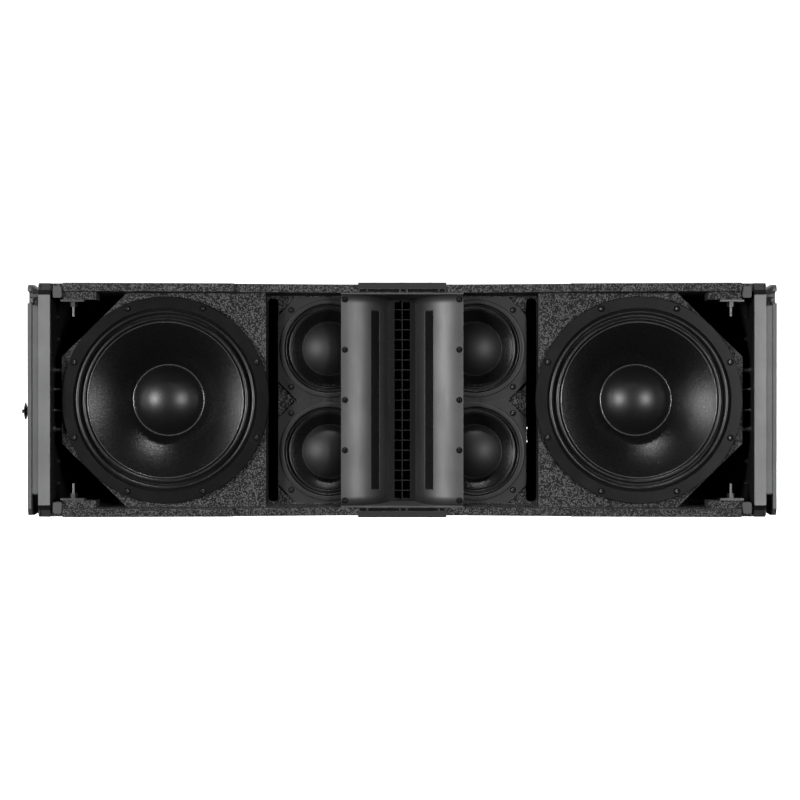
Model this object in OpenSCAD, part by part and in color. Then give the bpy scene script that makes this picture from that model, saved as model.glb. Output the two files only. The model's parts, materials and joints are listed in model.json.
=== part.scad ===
// Line array speaker: two 12 inch woofers, four mids and a slotted high-frequency horn
// between steel rigging plates. +X is right, -Y is the front, +Z is up, origin at the centre.

/* [Cabinet] */
// Width over the top and bottom boards
cab_w = 1094; // [1090:1:1098]
// Height at the front edge
cab_h = 354; // [352:1:356]
// Depth of the boards, front edge to rear face
cab_d = 450; // [440:5:460]
// Depth of the whole object, to the heat sink's fins
full_d = 480; // [476:1:490]
// Slope of the top and bottom boards
taper = 3.5; // [3:0.1:3.8]
// Vertical thickness of the top and bottom boards
board_t = 12.5; // [11:0.5:13]
// Thickness of the side boards
side_t = 15.5; // [14:0.5:16]
// Depth of the front of the woofer baffles
woofer_d = 28; // [26:1:32]
// Depth of the front of the mid baffle
mid_d = 66; // [64:1:70]

/* [Drivers] */
// Distance of a woofer's centre from the middle
woofer_x = 360; // [358:1:362]
// Outer radius of a woofer's flange
woofer_r = 157.5; // [155:0.5:159]
// Distance of a mid's centre from the middle
mid_x = 112.5; // [112:0.5:113]
// Height of a mid's centre above or below the middle
mid_z = 79.3; // [79.3:0.1:80]

/* [Horn] */
// Half width over the flares
flare_x = 93; // [90:1:94]
// Half width of the high-frequency insert
insert_x = 20.5; // [19:0.5:21]
// Depth of the flares' outer edges
flare_d = 26; // [24:1:28]
// Depth of the insert's face
insert_d = 95; // [94:1:97]
// Number of rows of cells in the insert
cell_rows = 20; // [12:2:22]

/* [Rigging] */
// Thickness of the outer side plates
plate_t = 5.5; // [5:0.5:6]
// Width of the link channel
channel_w = 10.5; // [10:0.1:11]
// Travel of a front link
link_travel = 60; // [40:5:64]
// Length of a rear link between its holes
rear_link_l = 120; // [100:5:124]

/* [Hidden] */
$fn = 96;
// Y of the front plane
front_y = -full_d / 2;
half_h = cab_h / 2;
slope = tan(taper);
board_x = cab_w / 2;
side_x = board_x - side_t;
// Bracket plate between the side board and the channel
bracket_t = 2;
channel_x = board_x + bracket_t;
plate_x = channel_x + channel_w;
outer_x = plate_x + plate_t;
colour_paint = [0.20, 0.20, 0.21];
colour_steel = [0.32, 0.33, 0.34];
colour_cast = [0.12, 0.12, 0.13];
colour_cone = [0.07, 0.07, 0.08];
colour_bright = [0.78, 0.79, 0.80];
colour_board = [0.10, 0.30, 0.16];

// Inner half height between the boards at a depth d
function inner_z(d) = half_h - board_t - slope * d;
// Outer half height over the boards at a depth d
function outer_z(d) = half_h - slope * d;

// Places children by depth behind the front plane
module deep(d = 0)
  translate([0, front_y + d, 0])
    children();

// Places children, drawn with local +Z towards the front, at x, depth and height
module facing(x, d, z)
  translate([x, front_y + d, z])
    rotate([90, 0, 0])
      children();

// Extrudes a (depth, height) outline along X from x0 to x1
module across(x0, x1)
  translate([x0, front_y, 0])
    rotate([90, 0, 90])
      linear_extrude(x1 - x0)
        children();

// Extrudes an (x, depth) outline up from z0 to z1
module upright(z0, z1)
  translate([0, front_y, z0])
    linear_extrude(z1 - z0)
      children();

module both_sides()
  for (s = [0, 1])
    mirror([s, 0, 0])
      children();

module top_and_bottom()
  for (s = [0, 1])
    mirror([0, 0, s])
      children();

// Wedge of the space between the boards, kept clear of them by gap
module inner_wedge(d0, d1, x, gap = 0)
  across(-x, x)
    polygon([[d0, -inner_z(d0) + gap], [d1, -inner_z(d1) + gap],
             [d1, inner_z(d1) - gap], [d0, inner_z(d0) - gap]]);

// ---- Cabinet ----

// Front edge of the top and bottom boards, seen from above
step_x = 255;
edge_outer = 7;
edge_inner = 12.5;
edge_mid = 22;
notch_d = 9;
notch_x = 512;
module board_plan()
  polygon([
    [-board_x, notch_d], [-notch_x, notch_d], [-notch_x, 0], [-step_x, edge_outer],
    [-step_x, edge_inner], [-flare_x, edge_mid], [flare_x, edge_mid],
    [step_x, edge_inner], [step_x, edge_outer], [notch_x, 0], [notch_x, notch_d],
    [board_x, notch_d], [board_x, cab_d], [-board_x, cab_d]]);

module top_board()
  color(colour_paint)
    intersection() {
      across(-board_x, board_x)
        polygon([[0, half_h - board_t], [0, half_h],
                 [cab_d, outer_z(cab_d)], [cab_d, inner_z(cab_d)]]);
      upright(0, half_h + 1)
        board_plan();
    }

module bottom_board()
  mirror([0, 0, 1])
    top_board();

module side_board_right()
  color(colour_paint)
    across(side_x, board_x)
      polygon([[notch_d, -inner_z(notch_d)], [cab_d, -inner_z(cab_d)],
               [cab_d, inner_z(cab_d)], [notch_d, inner_z(notch_d)]]);

module side_board_left()
  mirror([1, 0, 0])
    side_board_right();

rear_t = 14;
amp_cut = [240, 100];
cup_x = 395;
cup_w = 92;
cup_h = 118;
module rear_board()
  color(colour_paint)
    difference() {
      inner_wedge(cab_d - rear_t, cab_d, side_x);
      deep(cab_d - rear_t - 1)
        translate([-amp_cut[0], 0, -amp_cut[1]])
          cube([2 * amp_cut[0], rear_t + 2, 2 * amp_cut[1]]);
      both_sides()
        deep(cab_d - rear_t - 1)
          translate([cup_x - cup_w / 2, 0, -cup_h / 2])
            cube([cup_w, rear_t + 2, cup_h]);
    }

// Eight-sided woofer baffle: its outer corners are cut off to open the corner ports
baffle_t = 18;
baffle_in = 207.6;
baffle_out = 518;
cut_x = 418;
cut_z = 66;
module woofer_outline()
  polygon([
    [baffle_in, -half_h], [cut_x - (half_h - 164), -half_h], [cut_x, -164], [baffle_out, -cut_z],
    [baffle_out, cut_z], [cut_x, 164], [cut_x - (half_h - 164), half_h], [baffle_in, half_h]]);

basket_r = 139;
module woofer_baffle_right()
  color(colour_paint)
    difference() {
      intersection() {
        inner_wedge(woofer_d, woofer_d + baffle_t, board_x);
        facing(0, woofer_d + baffle_t, 0)
          linear_extrude(baffle_t)
            woofer_outline();
      }
      facing(woofer_x, woofer_d + baffle_t + 1, 0)
        cylinder(h = baffle_t + 2, r = basket_r + 1);
      woofer_holes(3);
    }

module woofer_baffle_left()
  mirror([1, 0, 0])
    woofer_baffle_right();

// Places children at the eight screws of a woofer
woofer_pcd = 300;
module around_woofer()
  for (k = [0 : 7])
    rotate(22.5 + 45 * k)
      translate([woofer_pcd / 2, 0, 0])
        children();

module woofer_holes(r)
  facing(woofer_x, woofer_d, 0)
    around_woofer()
      translate([0, 0, -baffle_t - 1])
        cylinder(h = baffle_t + 20, r = r);

slot_x0 = 190.7;
slot_x1 = 207.6;
slot_z = 156.4;
slot_r = 6;
mid_cut_r = 71;
wave_cut = 33;
// Room over the baffle for the horn's end plates
plate_room = 2.6;
// Half of a mid's screw square
mid_sx = 58;
mid_sz = 59;
module around_mids()
  for (sx = [-1, 1], sz = [-1, 1])
    facing(sx * mid_x, mid_d, sz * mid_z)
      children();

module around_mid_screws()
  for (sx = [-1, 1], sz = [-1, 1])
    translate([sx * mid_sx, sz * mid_sz, 0])
      children();

module mid_baffle()
  color(colour_paint)
    difference() {
      intersection() {
        inner_wedge(mid_d, mid_d + baffle_t, baffle_in + 9.4);
        deep(mid_d)
          translate([-baffle_in - 9.4, 0, -half_h])
            cube([2 * baffle_in + 18.8, baffle_t, 2 * half_h]);
      }
      both_sides()
        facing(0, mid_d + baffle_t + 1, 0)
          linear_extrude(baffle_t + 2)
            rounded(slot_x0, -slot_z, slot_x1, slot_z, slot_r);
      deep(mid_d - 1)
        translate([-wave_cut, 0, -half_h])
          cube([2 * wave_cut, baffle_t + 2, 2 * half_h]);
      top_and_bottom()
        deep(mid_d - 1)
          translate([-flare_x - 0.5, 0, inner_z(mid_d + baffle_t) - plate_room])
            cube([2 * flare_x + 1, baffle_t + 2, 2 * plate_room]);
      around_mids()
        translate([0, 0, -baffle_t - 1])
          cylinder(h = baffle_t + 2, r = mid_cut_r);
      around_mids()
        around_mid_screws()
          translate([0, 0, -baffle_t - 1])
            cylinder(h = baffle_t + 2, r = 1.6);
    }

// Rectangle with round corners
module rounded(x0, y0, x1, y1, r)
  union() {
    translate([x0 + r, y0])
      square([x1 - x0 - 2 * r, y1 - y0]);
    translate([x0, y0 + r])
      square([x1 - x0, y1 - y0 - 2 * r]);
    for (x = [x0 + r, x1 - r], y = [y0 + r, y1 - r])
      translate([x, y])
        circle(r = r, $fn = 32);
  }

// Walls of the mid chamber and of the port ducts
duct_end = 300;
module partitions()
  color(colour_paint)
    both_sides() {
      intersection() {
        inner_wedge(mid_d + baffle_t, cab_d - rear_t, board_x);
        upright(-half_h, half_h)
          translate([slot_x0 - 6.2, 0])
            square([6, cab_d]);
      }
      intersection() {
        inner_wedge(mid_d + baffle_t, duct_end, board_x);
        upright(-half_h, half_h)
          translate([slot_x1, 0])
            square([9.4, cab_d]);
      }
      intersection() {
        inner_wedge(woofer_d + baffle_t, mid_d, board_x);
        upright(-half_h, half_h)
          translate([slot_x1, 0])
            square([9.4, cab_d]);
      }
    }

// ---- Front corners ----

// Block glued into each corner for the grille's fixing
block_x0 = 463;
block_x1 = 514;
block_z = 152;
block_d0 = 10;
block_d1 = 46;
module corner_blocks()
  color(colour_paint)
    both_sides()
      top_and_bottom()
        difference() {
          across(block_x0, block_x1)
            polygon([[block_d0, block_z], [block_d1, block_z],
                     [block_d1, inner_z(block_d1)], [block_d0, inner_z(block_d0)]]);
          translate([stud_x, front_y + stud_d, block_z - 1])
            cylinder(h = 9, r = stud_r + 0.1);
        }

// Rubber pads in the notches of the boards: a tall front part and a foot under the board
pad_back = 22;
module edge_bumpers()
  color([0.30, 0.30, 0.31])
    both_sides()
      top_and_bottom()
        for (pad = [[notch_d, 171.5], [pad_back, inner_z(pad_back)]])
          facing(0, pad[0], 0)
            linear_extrude(pad[0] - 3)
              rounded(block_x1 + 0.3, 154.5, 527.5, pad[1], 3);

stud_x = 499.5;
stud_d = 24;
stud_r = 2.4;
stud_end = 127;
nut_h = 7.5;
module grille_studs()
  color(colour_steel)
    both_sides()
      top_and_bottom()
        translate([stud_x, front_y + stud_d, 0]) {
          translate([-18, -12, block_z - 3])
            cube([36, 24, 3]);
          translate([0, 0, block_z - 3 - nut_h])
            cylinder(h = nut_h + 0.1, r = 6, $fn = 6);
          translate([0, 0, stud_end])
            cylinder(h = block_z + 7 - stud_end, r = stud_r);
        }

// Bolts in the side boards: height, radius, depth and inner end of each
bolt_rows = [[45, 3, 35, baffle_out], [16, 1.6, 35, baffle_out],
             [-16, 1.6, 35, baffle_out], [-45, 3, 35, baffle_out],
             [128, 2.5, 60, 526], [94, 2.5, 60, 526],
             [-94, 2.5, 60, 526], [-128, 2.5, 60, 526]];
module cavity_bolts()
  color(colour_steel)
    both_sides()
      for (b = bolt_rows)
        sideways(b[3], b[2], b[0]) {
          cylinder(h = side_x - b[3], r = b[1]);
          translate([0, 0, side_x - b[3] - 3])
            cylinder(h = 3, r = 1.6 * b[1], $fn = 6);
        }

// ---- Rigging ----

plate_end = 446;
// Places children, drawn with local +Z towards +X, at x, depth and height
module sideways(x, d, z)
  translate([x, front_y + d, z])
    rotate([90, 0, 90])
      children();

pin_d = 38;
pin_z = -17;
pin_r = 4;
pin_bore = 4.1;
pivot_d = 412;
pivot_z = 108;
pivot_r = 6;
pivot_bore = 6.08;
// Half height of a rear link
rear_link_w = 13;
// Holes that take the pins of the neighbouring cabinets' links
mate_r = 4.2;
front_mate_z = 150;
rear_mate_z = -112;
flange_t = 3;
flange_bend = 159;
screw_zs = [-78.5, -137.5];
screw_ds = [90, 200, 300];
screw_hole = 3.1;
spacer_r = 5;

module rig_holes(x0, x1)
  for (p = [[pin_d, pin_z, pin_bore], [pivot_d, pivot_z, pivot_bore],
            [pin_d, front_mate_z, mate_r], [pivot_d, rear_mate_z, mate_r]])
    sideways(x0 - 1, p[0], p[1])
      cylinder(h = x1 - x0 + 2, r = p[2]);

module screw_places()
  for (d = screw_ds, z = screw_zs)
    translate([d, z])
      children();

module rig_bracket_right()
  color(colour_steel)
    difference() {
      union() {
        across(board_x, channel_x)
          polygon([[1, -174], [plate_end, -outer_z(plate_end)],
                   [plate_end, outer_z(plate_end)], [1, 174]]);
        across(side_x, channel_x)
          polygon([[0, -flange_bend], [5.5, -outer_z(5.5)], [8.5, -outer_z(8.5)],
                   [flange_t, -flange_bend], [flange_t, flange_bend], [8.5, outer_z(8.5)],
                   [5.5, outer_z(5.5)], [0, flange_bend]]);
      }
      rig_holes(board_x, channel_x);
      sideways(board_x - 1, 0, 0)
        linear_extrude(bracket_t + 2)
          screw_places()
            circle(r = screw_hole);
    }

module rig_bracket_left()
  mirror([1, 0, 0])
    rig_bracket_right();

// Hook-shaped relief at the top front of the side plate
hook_z = 146;
hook_d = 14;
module side_plate_right()
  color(colour_steel)
    difference() {
      across(plate_x, outer_x)
        difference() {
          polygon([[0, -164], [6, -174], [30, -outer_z(30)], [plate_end, -outer_z(plate_end)],
                   [plate_end, outer_z(plate_end)], [30, outer_z(30)], [6, 174], [0, 168]]);
          translate([0, hook_z])
            rounded(-hook_d, 0, hook_d, 18, 4);
          translate([plate_end, -outer_z(plate_end)])
            rotate(45)
              square(24, center = true);
          translate([plate_end, outer_z(plate_end)])
            rotate(45)
              square(24, center = true);
        }
      rig_holes(plate_x, outer_x);
      sideways(plate_x - 1, 0, 0)
        linear_extrude(plate_t + 2)
          screw_places()
            circle(r = screw_hole);
    }

module side_plate_left()
  mirror([1, 0, 0])
    side_plate_right();

// Front closing bars, a small cross pin in each upper receptacle, screw spacers,
// pivot bolts, and the stop that each rear link lies on
bar_z = 143.5;
cross_pin = [8, 157];
stop_r = 4;
module channel_spacers()
  color(colour_steel)
    both_sides() {
      across(channel_x, plate_x)
        rounded(2, -bar_z, 14, bar_z, 3);
      sideways(channel_x, cross_pin[0], cross_pin[1])
        cylinder(h = channel_w + 3, r = 2.5);
      difference() {
        across(channel_x, plate_x)
          screw_places()
            circle(r = spacer_r + 2);
        sideways(channel_x - 1, 0, 0)
          linear_extrude(channel_w + 2)
            screw_places()
              circle(r = screw_hole);
      }
      sideways(board_x, pivot_d, pivot_z)
        cylinder(h = outer_x - board_x, r = pivot_r);
      sideways(outer_x, pivot_d, pivot_z)
        cylinder(h = 3, r = 9);
      sideways(channel_x, pivot_d - rear_link_l, pivot_z - rear_link_w - stop_r - 0.3)
        cylinder(h = channel_w, r = stop_r);
    }

module pan_head(r, h)
  rotate_extrude()
    polygon([[0, 0], [r, 0], [r, 0.4 * h], [0.7 * r, 0.85 * h], [0.4 * r, h], [0, h]]);

centre_x = 67;
centre_t = 2.5;
centre_screws = [-42, 0, 43];
centre_d0 = 24;
centre_d1 = 120;
module plate_screws()
  color(colour_steel) {
    both_sides()
      for (d = screw_ds, z = screw_zs)
        sideways(outer_x, d, z) {
          pan_head(5, 2.5);
          translate([0, 0, board_x - outer_x])
            cylinder(h = outer_x - board_x, r = 2.95);
        }
    top_and_bottom()
      for (x = centre_screws, d = [centre_d0 + 10, centre_d1 - 10])
        translate([x, front_y + d, outer_z(d) + centre_t])
          rotate([-taper, 0, 0])
            pan_head(5, 2);
  }

// Side link: a bar with a long slot that the pin runs in
link_gap = 0.5;
link_w = 17;
link_top = 20;
link_end = -172;
module front_link_right()
  color(colour_steel)
    difference() {
      across(channel_x + link_gap, plate_x - link_gap)
        hull() {
          translate([pin_d, link_end + 14])
            circle(r = 14, $fn = 48);
          translate([pin_d - link_w, link_end + 22])
            square([2 * link_w, 10]);
          translate([pin_d - link_w, link_top + link_travel])
            square([2 * link_w, 10]);
        }
      across(channel_x, plate_x)
        rounded(pin_d - pin_bore - 0.4, pin_z - pin_bore - 0.4,
                pin_d + pin_bore + 0.4, pin_z + link_travel + pin_bore + 0.4, pin_bore);
      sideways(channel_x, pin_d, link_end + 15)
        cylinder(h = channel_w, r = mate_r);
    }

module front_link_left()
  mirror([1, 0, 0])
    front_link_right();

// Quick-release pin with a body and a finger disc outside the left plate: radius and height
pin_start = board_x + 0.2;
left_body = [[0, 0], [6.6, 0], [6.6, 6.5], [7.6, 8], [9.6, 9], [12.8, 9.5],
             [12.8, 10.3], [9.6, 10.8], [7.6, 11.2], [0, 11.2]];
left_body_l = 11.2;
button_r = 3;
button_bore = 3.05;
button_l = 9;
module front_pin_left()
  color(colour_steel)
    mirror([1, 0, 0])
      difference() {
        union() {
          sideways(pin_start, pin_d, pin_z)
            cylinder(h = outer_x - pin_start, r = pin_r);
          sideways(outer_x, pin_d, pin_z)
            rotate_extrude()
              polygon(left_body);
        }
        sideways(outer_x + left_body_l - button_l, pin_d, pin_z)
          cylinder(h = button_l + 1, r = button_bore);
      }

// Low-profile pin: its head lies flush in the right plate
module front_pin_right()
  color(colour_steel)
    difference() {
      sideways(pin_start, pin_d, pin_z)
        cylinder(h = outer_x - pin_start, r = pin_r);
      sideways(outer_x - button_l, pin_d, pin_z)
        cylinder(h = button_l + 1, r = button_bore);
    }

// Push buttons in the pins: they travel inwards and free the pin's locking balls
button_out = 4;
button_travel = 2.5;
module pin_button(x)
  color(colour_bright)
    sideways(x - button_l + button_travel + 0.5, pin_d, pin_z)
      cylinder(h = button_l - button_travel - 0.5 + button_out, r = button_r);

module pin_button_left()
  mirror([1, 0, 0])
    pin_button(outer_x + left_body_l);

module pin_button_right()
  pin_button(outer_x);

// Rear link: lies forward in the channel and swings up to the cabinet above
module rear_link_right()
  color(colour_steel)
    difference() {
      across(channel_x + link_gap, plate_x - link_gap)
        union() {
          for (d = [pivot_d, pivot_d - rear_link_l])
            translate([d, pivot_z])
              circle(r = rear_link_w);
          translate([pivot_d - rear_link_l, pivot_z - rear_link_w])
            square([rear_link_l, 2 * rear_link_w]);
        }
      sideways(channel_x, pivot_d, pivot_z)
        cylinder(h = channel_w, r = pivot_bore);
      sideways(channel_x, pivot_d - rear_link_l, pivot_z)
        cylinder(h = channel_w, r = mate_r);
    }

module rear_link_left()
  mirror([1, 0, 0])
    rear_link_right();

// ---- Woofers ----

// Local heights above the baffle's face, towards the front
flange_h = 7;
// Seat of the surround's lip
seat_h = 2;
basket_back = -98;
window_count = 6;
module basket()
  difference() {
    rotate_extrude()
      polygon([
        [basket_r + 0.3, 0], [woofer_r, 0], [woofer_r, flange_h - 1], [woofer_r - 1, flange_h],
        [basket_r + 1, flange_h], [basket_r + 1, seat_h], [135.5, seat_h], [135.5, -8], [126, -20],
        [62, -86], [62, basket_back], [68, basket_back], [68, -90], [131, -24], [basket_r, -12]]);
    for (k = [0 : window_count - 1])
      rotate(360 / window_count * k)
        translate([70, -26, -82])
          cube([44, 52, 52]);
    around_woofer()
      translate([0, 0, -1])
        cylinder(h = flange_h + 2, r = 3);
  }

module woofer_basket_right()
  color(colour_cast)
    facing(woofer_x, woofer_d, 0)
      basket();

module woofer_basket_left()
  mirror([1, 0, 0])
    woofer_basket_right();

// Point at angle a on an arc of radius r round c
function arc_point(c, r, a) = [c[0] + r * cos(a), c[1] + r * sin(a)];

// Two half rolls side by side, from the outer ring in to the cone's edge
roll_t = 1.2;
module rolls(edge_r, roll_r, z, count, lip)
  rotate_extrude()
    union() {
      for (k = [0 : count - 1])
        translate([edge_r + roll_r * (1 + 2 * k), z])
          difference() {
            intersection() {
              circle(r = roll_r + roll_t / 2, $fn = 32);
              translate([-roll_r - roll_t, 0])
                square([2 * roll_r + 2 * roll_t, 2 * roll_r]);
            }
            circle(r = roll_r - roll_t / 2, $fn = 32);
          }
      translate([edge_r + 2 * roll_r * count - 0.1, z])
        square([lip, roll_t]);
    }

cone_r = 119.5;
module woofer_surround_right()
  color(colour_cone)
    facing(woofer_x, woofer_d, 0)
      rolls(cone_r + 1, 3.9, seat_h, 2, 3.4);

module woofer_surround_left()
  mirror([1, 0, 0])
    woofer_surround_right();

cap_r = 55;
cap_z = -40;
coil_r = 38;
coil_end = -120;
// Cone, dust cap and coil former, glued together: hollow, and open at the back of the coil
module cone_body(edge_r, edge_z, cap_r, cap_z, cap_h, coil_r, coil_end, t) {
  steep = (edge_z - cap_z) / (edge_r - cap_r);
  neck_z = cap_z - (cap_r - coil_r) * steep;
  rotate_extrude()
    polygon(concat(
      [[coil_r, coil_end], [coil_r, neck_z - t], [edge_r, edge_z - t], [edge_r, edge_z]],
      [for (k = [0 : 12]) [cap_r * cos(7.5 * k), cap_z + cap_h * sin(7.5 * k)]],
      [for (k = [12 : -1 : 0])
        [(cap_r - 1.5 * t) * cos(7.5 * k), cap_z + (cap_h - t) * sin(7.5 * k)]],
      [[coil_r - 1, neck_z], [coil_r - 1, coil_end]]));
}

module woofer_cone_right()
  color(colour_cone)
    facing(woofer_x, woofer_d, 0)
      cone_body(cone_r, 2, cap_r, cap_z, 30, coil_r, coil_end, 1.5);

module woofer_cone_left()
  mirror([1, 0, 0])
    woofer_cone_right();

// Corrugated disc that centres the coil
spider_r = 61.6;
module woofer_spiders()
  color([0.75, 0.62, 0.35])
    both_sides()
      facing(woofer_x, woofer_d, 0)
        rotate_extrude()
          polygon(concat(
            [for (k = [0 : 12]) [coil_r + 0.5 + (spider_r - coil_r - 0.5) * k / 12, -89 + k % 2]],
            [for (k = [12 : -1 : 0]) [coil_r + 0.5 + (spider_r - coil_r - 0.5) * k / 12, -90 + k % 2]]));

// Magnet with a pole in the middle: the coil moves in the slot between them
module motor(r, pole_r, slot_r, front, slot_end, back)
  rotate_extrude()
    polygon([[0, back], [r - 8, back], [r - 8, back + 8], [r, back + 8], [r, front - 8],
             [r - 12, front - 8], [r - 12, front], [slot_r, front], [slot_r, slot_end],
             [pole_r, slot_end], [pole_r, front + 2], [0, front + 2]]);

module woofer_motors()
  color(colour_cast)
    both_sides()
      facing(woofer_x, woofer_d, 0)
        motor(92, coil_r - 2.5, coil_r + 1, basket_back, -132, -148);

module woofer_screws()
  color(colour_cast)
    both_sides()
      facing(woofer_x, woofer_d, 0)
        around_woofer() {
          translate([0, 0, flange_h])
            pan_head(5.5, 3);
          translate([0, 0, -baffle_t])
            cylinder(h = baffle_t + flange_h, r = 2.9);
        }

// ---- Mids ----

mid_half_w = 78;
mid_half_h = 79;
mid_corner = 128.7;
mid_frame_t = 6;
mid_bore = 68.4;
mid_basket_r = 70;
mid_back = -56;
mid_pole = 22.5;
module mid_frame()
  difference() {
    union() {
      linear_extrude(mid_frame_t)
        polygon([
          [mid_half_w, mid_half_w - mid_corner], [mid_half_w, mid_corner - mid_half_w],
          [mid_corner - mid_half_h, mid_half_h], [mid_half_h - mid_corner, mid_half_h],
          [-mid_half_w, mid_corner - mid_half_w], [-mid_half_w, mid_half_w - mid_corner],
          [mid_half_h - mid_corner, -mid_half_h], [mid_corner - mid_half_h, -mid_half_h]]);
      rotate_extrude()
        polygon([[mid_bore, mid_frame_t - 0.1], [75.7, mid_frame_t - 0.1], [75.7, 7], [75, 7.6],
                 [69.4, 7.6], [mid_bore, 7]]);
      rotate_extrude()
        polygon([[mid_bore, 0.1], [mid_basket_r, 0.1], [mid_basket_r, -10], [46, -50],
                 [46, mid_back], [30, mid_back], [30, mid_back + 3], [43, -48], [66, -10]]);
    }
    translate([0, 0, -1])
      cylinder(h = mid_frame_t + 4, r = mid_bore);
    around_mid_screws()
      translate([0, 0, -1])
        cylinder(h = mid_frame_t + 2, r = 2.3);
    for (k = [0 : 3])
      rotate(90 * k)
        translate([50, -14, -42])
          cube([14, 28, 26]);
  }

module mid_frames()
  color(colour_cast)
    around_mids()
      mid_frame();

module mid_motors()
  color(colour_cast)
    around_mids()
      motor(45, mid_pole, 27, mid_back, -78, -88);

mid_cone_r = 58.4;
module mid_surrounds()
  color(colour_cone)
    around_mids()
      rolls(mid_cone_r + 0.9, 1.4, 3, 3, 0.6);

module mid_cone(sx, sz)
  color(colour_cone)
    facing(sx * mid_x, mid_d, sz * mid_z)
      cone_body(mid_cone_r, 3.4, 41, -13, 17, 25.5, -70, 1);

module mid_cone_upper_left()
  mid_cone(-1, 1);

module mid_cone_upper_right()
  mid_cone(1, 1);

module mid_cone_lower_left()
  mid_cone(-1, -1);

module mid_cone_lower_right()
  mid_cone(1, -1);

// Identical small screws: four in each mid and five down each flare
flare_screw_x = 87;
flare_screw_zs = [-153, -76.5, 0, 76.5, 153];
module small_screws()
  color(colour_cast) {
    around_mids()
      around_mid_screws() {
        translate([0, 0, mid_frame_t])
          pan_head(4, 2.2);
        translate([0, 0, -12])
          cylinder(h = 12 + mid_frame_t, r = 1.5);
      }
    both_sides()
      for (z = flare_screw_zs)
        facing(flare_screw_x, flare_d, z)
          pan_head(3.6, 2);
  }

// ---- Horn ----

flare_t = 3;
horn_plate_t = 2;
horn_gap = 0.2;
pocket_x = [35, 47];
pocket_z = 137;
// Quarter ellipse of a flare, moved in by t from its front face
function flare_curve(t) =
  [for (k = [0 : 20])
    [flare_x - (flare_x - insert_x - t) * sin(4.5 * k), insert_d - (insert_d - flare_d - t) * cos(4.5 * k)]];

module flare_section(t0, t1)
  polygon(concat(flare_curve(t0), [for (k = [20 : -1 : 0]) flare_curve(t1)[k]]));

module horn_flare_right()
  color(colour_steel)
    difference() {
      intersection() {
        upright(-half_h, half_h)
          union() {
            flare_section(0, flare_t);
            translate([flare_x - flare_t, flare_d])
              square([flare_t, 14]);
          }
        inner_wedge(0, cab_d, board_x, horn_plate_t + 2 * horn_gap);
      }
      upright(-pocket_z, pocket_z)
        intersection() {
          flare_section(-1, 1.4);
          translate([pocket_x[0], 0])
            square([pocket_x[1] - pocket_x[0], insert_d]);
        }
    }

module horn_flare_left()
  mirror([1, 0, 0])
    horn_flare_right();

horn_plate_d0 = 23;
module horn_plates()
  color(colour_steel)
    top_and_bottom()
      across(-flare_x, flare_x)
        polygon([
          [horn_plate_d0, inner_z(horn_plate_d0) - horn_plate_t - horn_gap],
          [insert_d + 3, inner_z(insert_d + 3) - horn_plate_t - horn_gap],
          [insert_d + 3, inner_z(insert_d + 3) - horn_gap],
          [horn_plate_d0, inner_z(horn_plate_d0) - horn_gap]]);

grid_d0 = insert_d - 2;
grid_d1 = insert_d + 3;
grid_z = 156;
cell_x = [0.8, 12];
cell_pitch = 2 * grid_z / cell_rows;
cell_bar = 1.4;
module hf_grid()
  color(colour_cast)
    difference() {
      deep(grid_d0)
        translate([-insert_x + 0.1, 0, -grid_z])
          cube([2 * insert_x - 0.2, grid_d1 - grid_d0, 2 * grid_z]);
      for (k = [0 : cell_rows - 1])
        both_sides()
          deep(grid_d0 - 1)
            translate([cell_x[0], 0, -grid_z + k * cell_pitch + cell_bar / 2])
              cube([cell_x[1] - cell_x[0], grid_d1 - grid_d0 + 2, cell_pitch - cell_bar]);
    }

wave_x = 28;
wave_end = 268;
wave_gap = 2;
throat_z = 79;
throat_r = 18;
module waveguide()
  color(colour_cast)
    difference() {
      intersection() {
        inner_wedge(grid_d1, wave_end, wave_x, wave_gap);
        upright(-half_h, half_h)
          polygon([[-wave_x, grid_d1], [wave_x, grid_d1], [wave_x - 6, wave_end], [6 - wave_x, wave_end]]);
      }
      intersection() {
        inner_wedge(grid_d1 - 1, wave_end - 30, wave_x, wave_gap + 4);
        upright(-half_h, half_h)
          polygon([[-12, grid_d1 - 1], [12, grid_d1 - 1], [9, wave_end - 30], [-9, wave_end - 30]]);
      }
      for (z = [-throat_z, throat_z])
        facing(0, wave_end + 1, z)
          cylinder(h = 40, r = throat_r);
    }

driver_r = 58;
driver_l = 62;
module hf_drivers()
  color(colour_cast)
    for (z = [-throat_z, throat_z])
      facing(0, wave_end + driver_l, z)
        rotate_extrude()
          polygon([[0, 0], [44, 0], [44, 12], [driver_r, 16], [driver_r, 44], [50, 48], [50, 54],
                   [30, 54], [30, driver_l], [throat_r, driver_l], [throat_r, 30], [0, 36]]);

// Slots in the plates' front, from the left
lip_slots = [[-64.5, -54.3], [-51.7, -4.7], [-2.1, 5.7], [8.3, 54.1], [56.7, 64.5]];
lip_slot_z = [163.9, 168.6];
module centre_plates()
  color(colour_paint)
    top_and_bottom()
      difference() {
        across(-centre_x, centre_x)
          polygon([[edge_mid - centre_t, inner_z(edge_mid)], [edge_mid, inner_z(edge_mid)],
                   [edge_mid, outer_z(edge_mid)], [centre_d1, outer_z(centre_d1)],
                   [centre_d1, outer_z(centre_d1) + centre_t],
                   [edge_mid - centre_t, outer_z(edge_mid - centre_t) + centre_t]]);
        for (slot = lip_slots)
          deep(edge_mid - centre_t - 1)
            translate([slot[0], 0, lip_slot_z[0]])
              cube([slot[1] - slot[0], centre_t + 1, lip_slot_z[1] - lip_slot_z[0]]);
      }

// ---- Amplifier and rear ----

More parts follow.
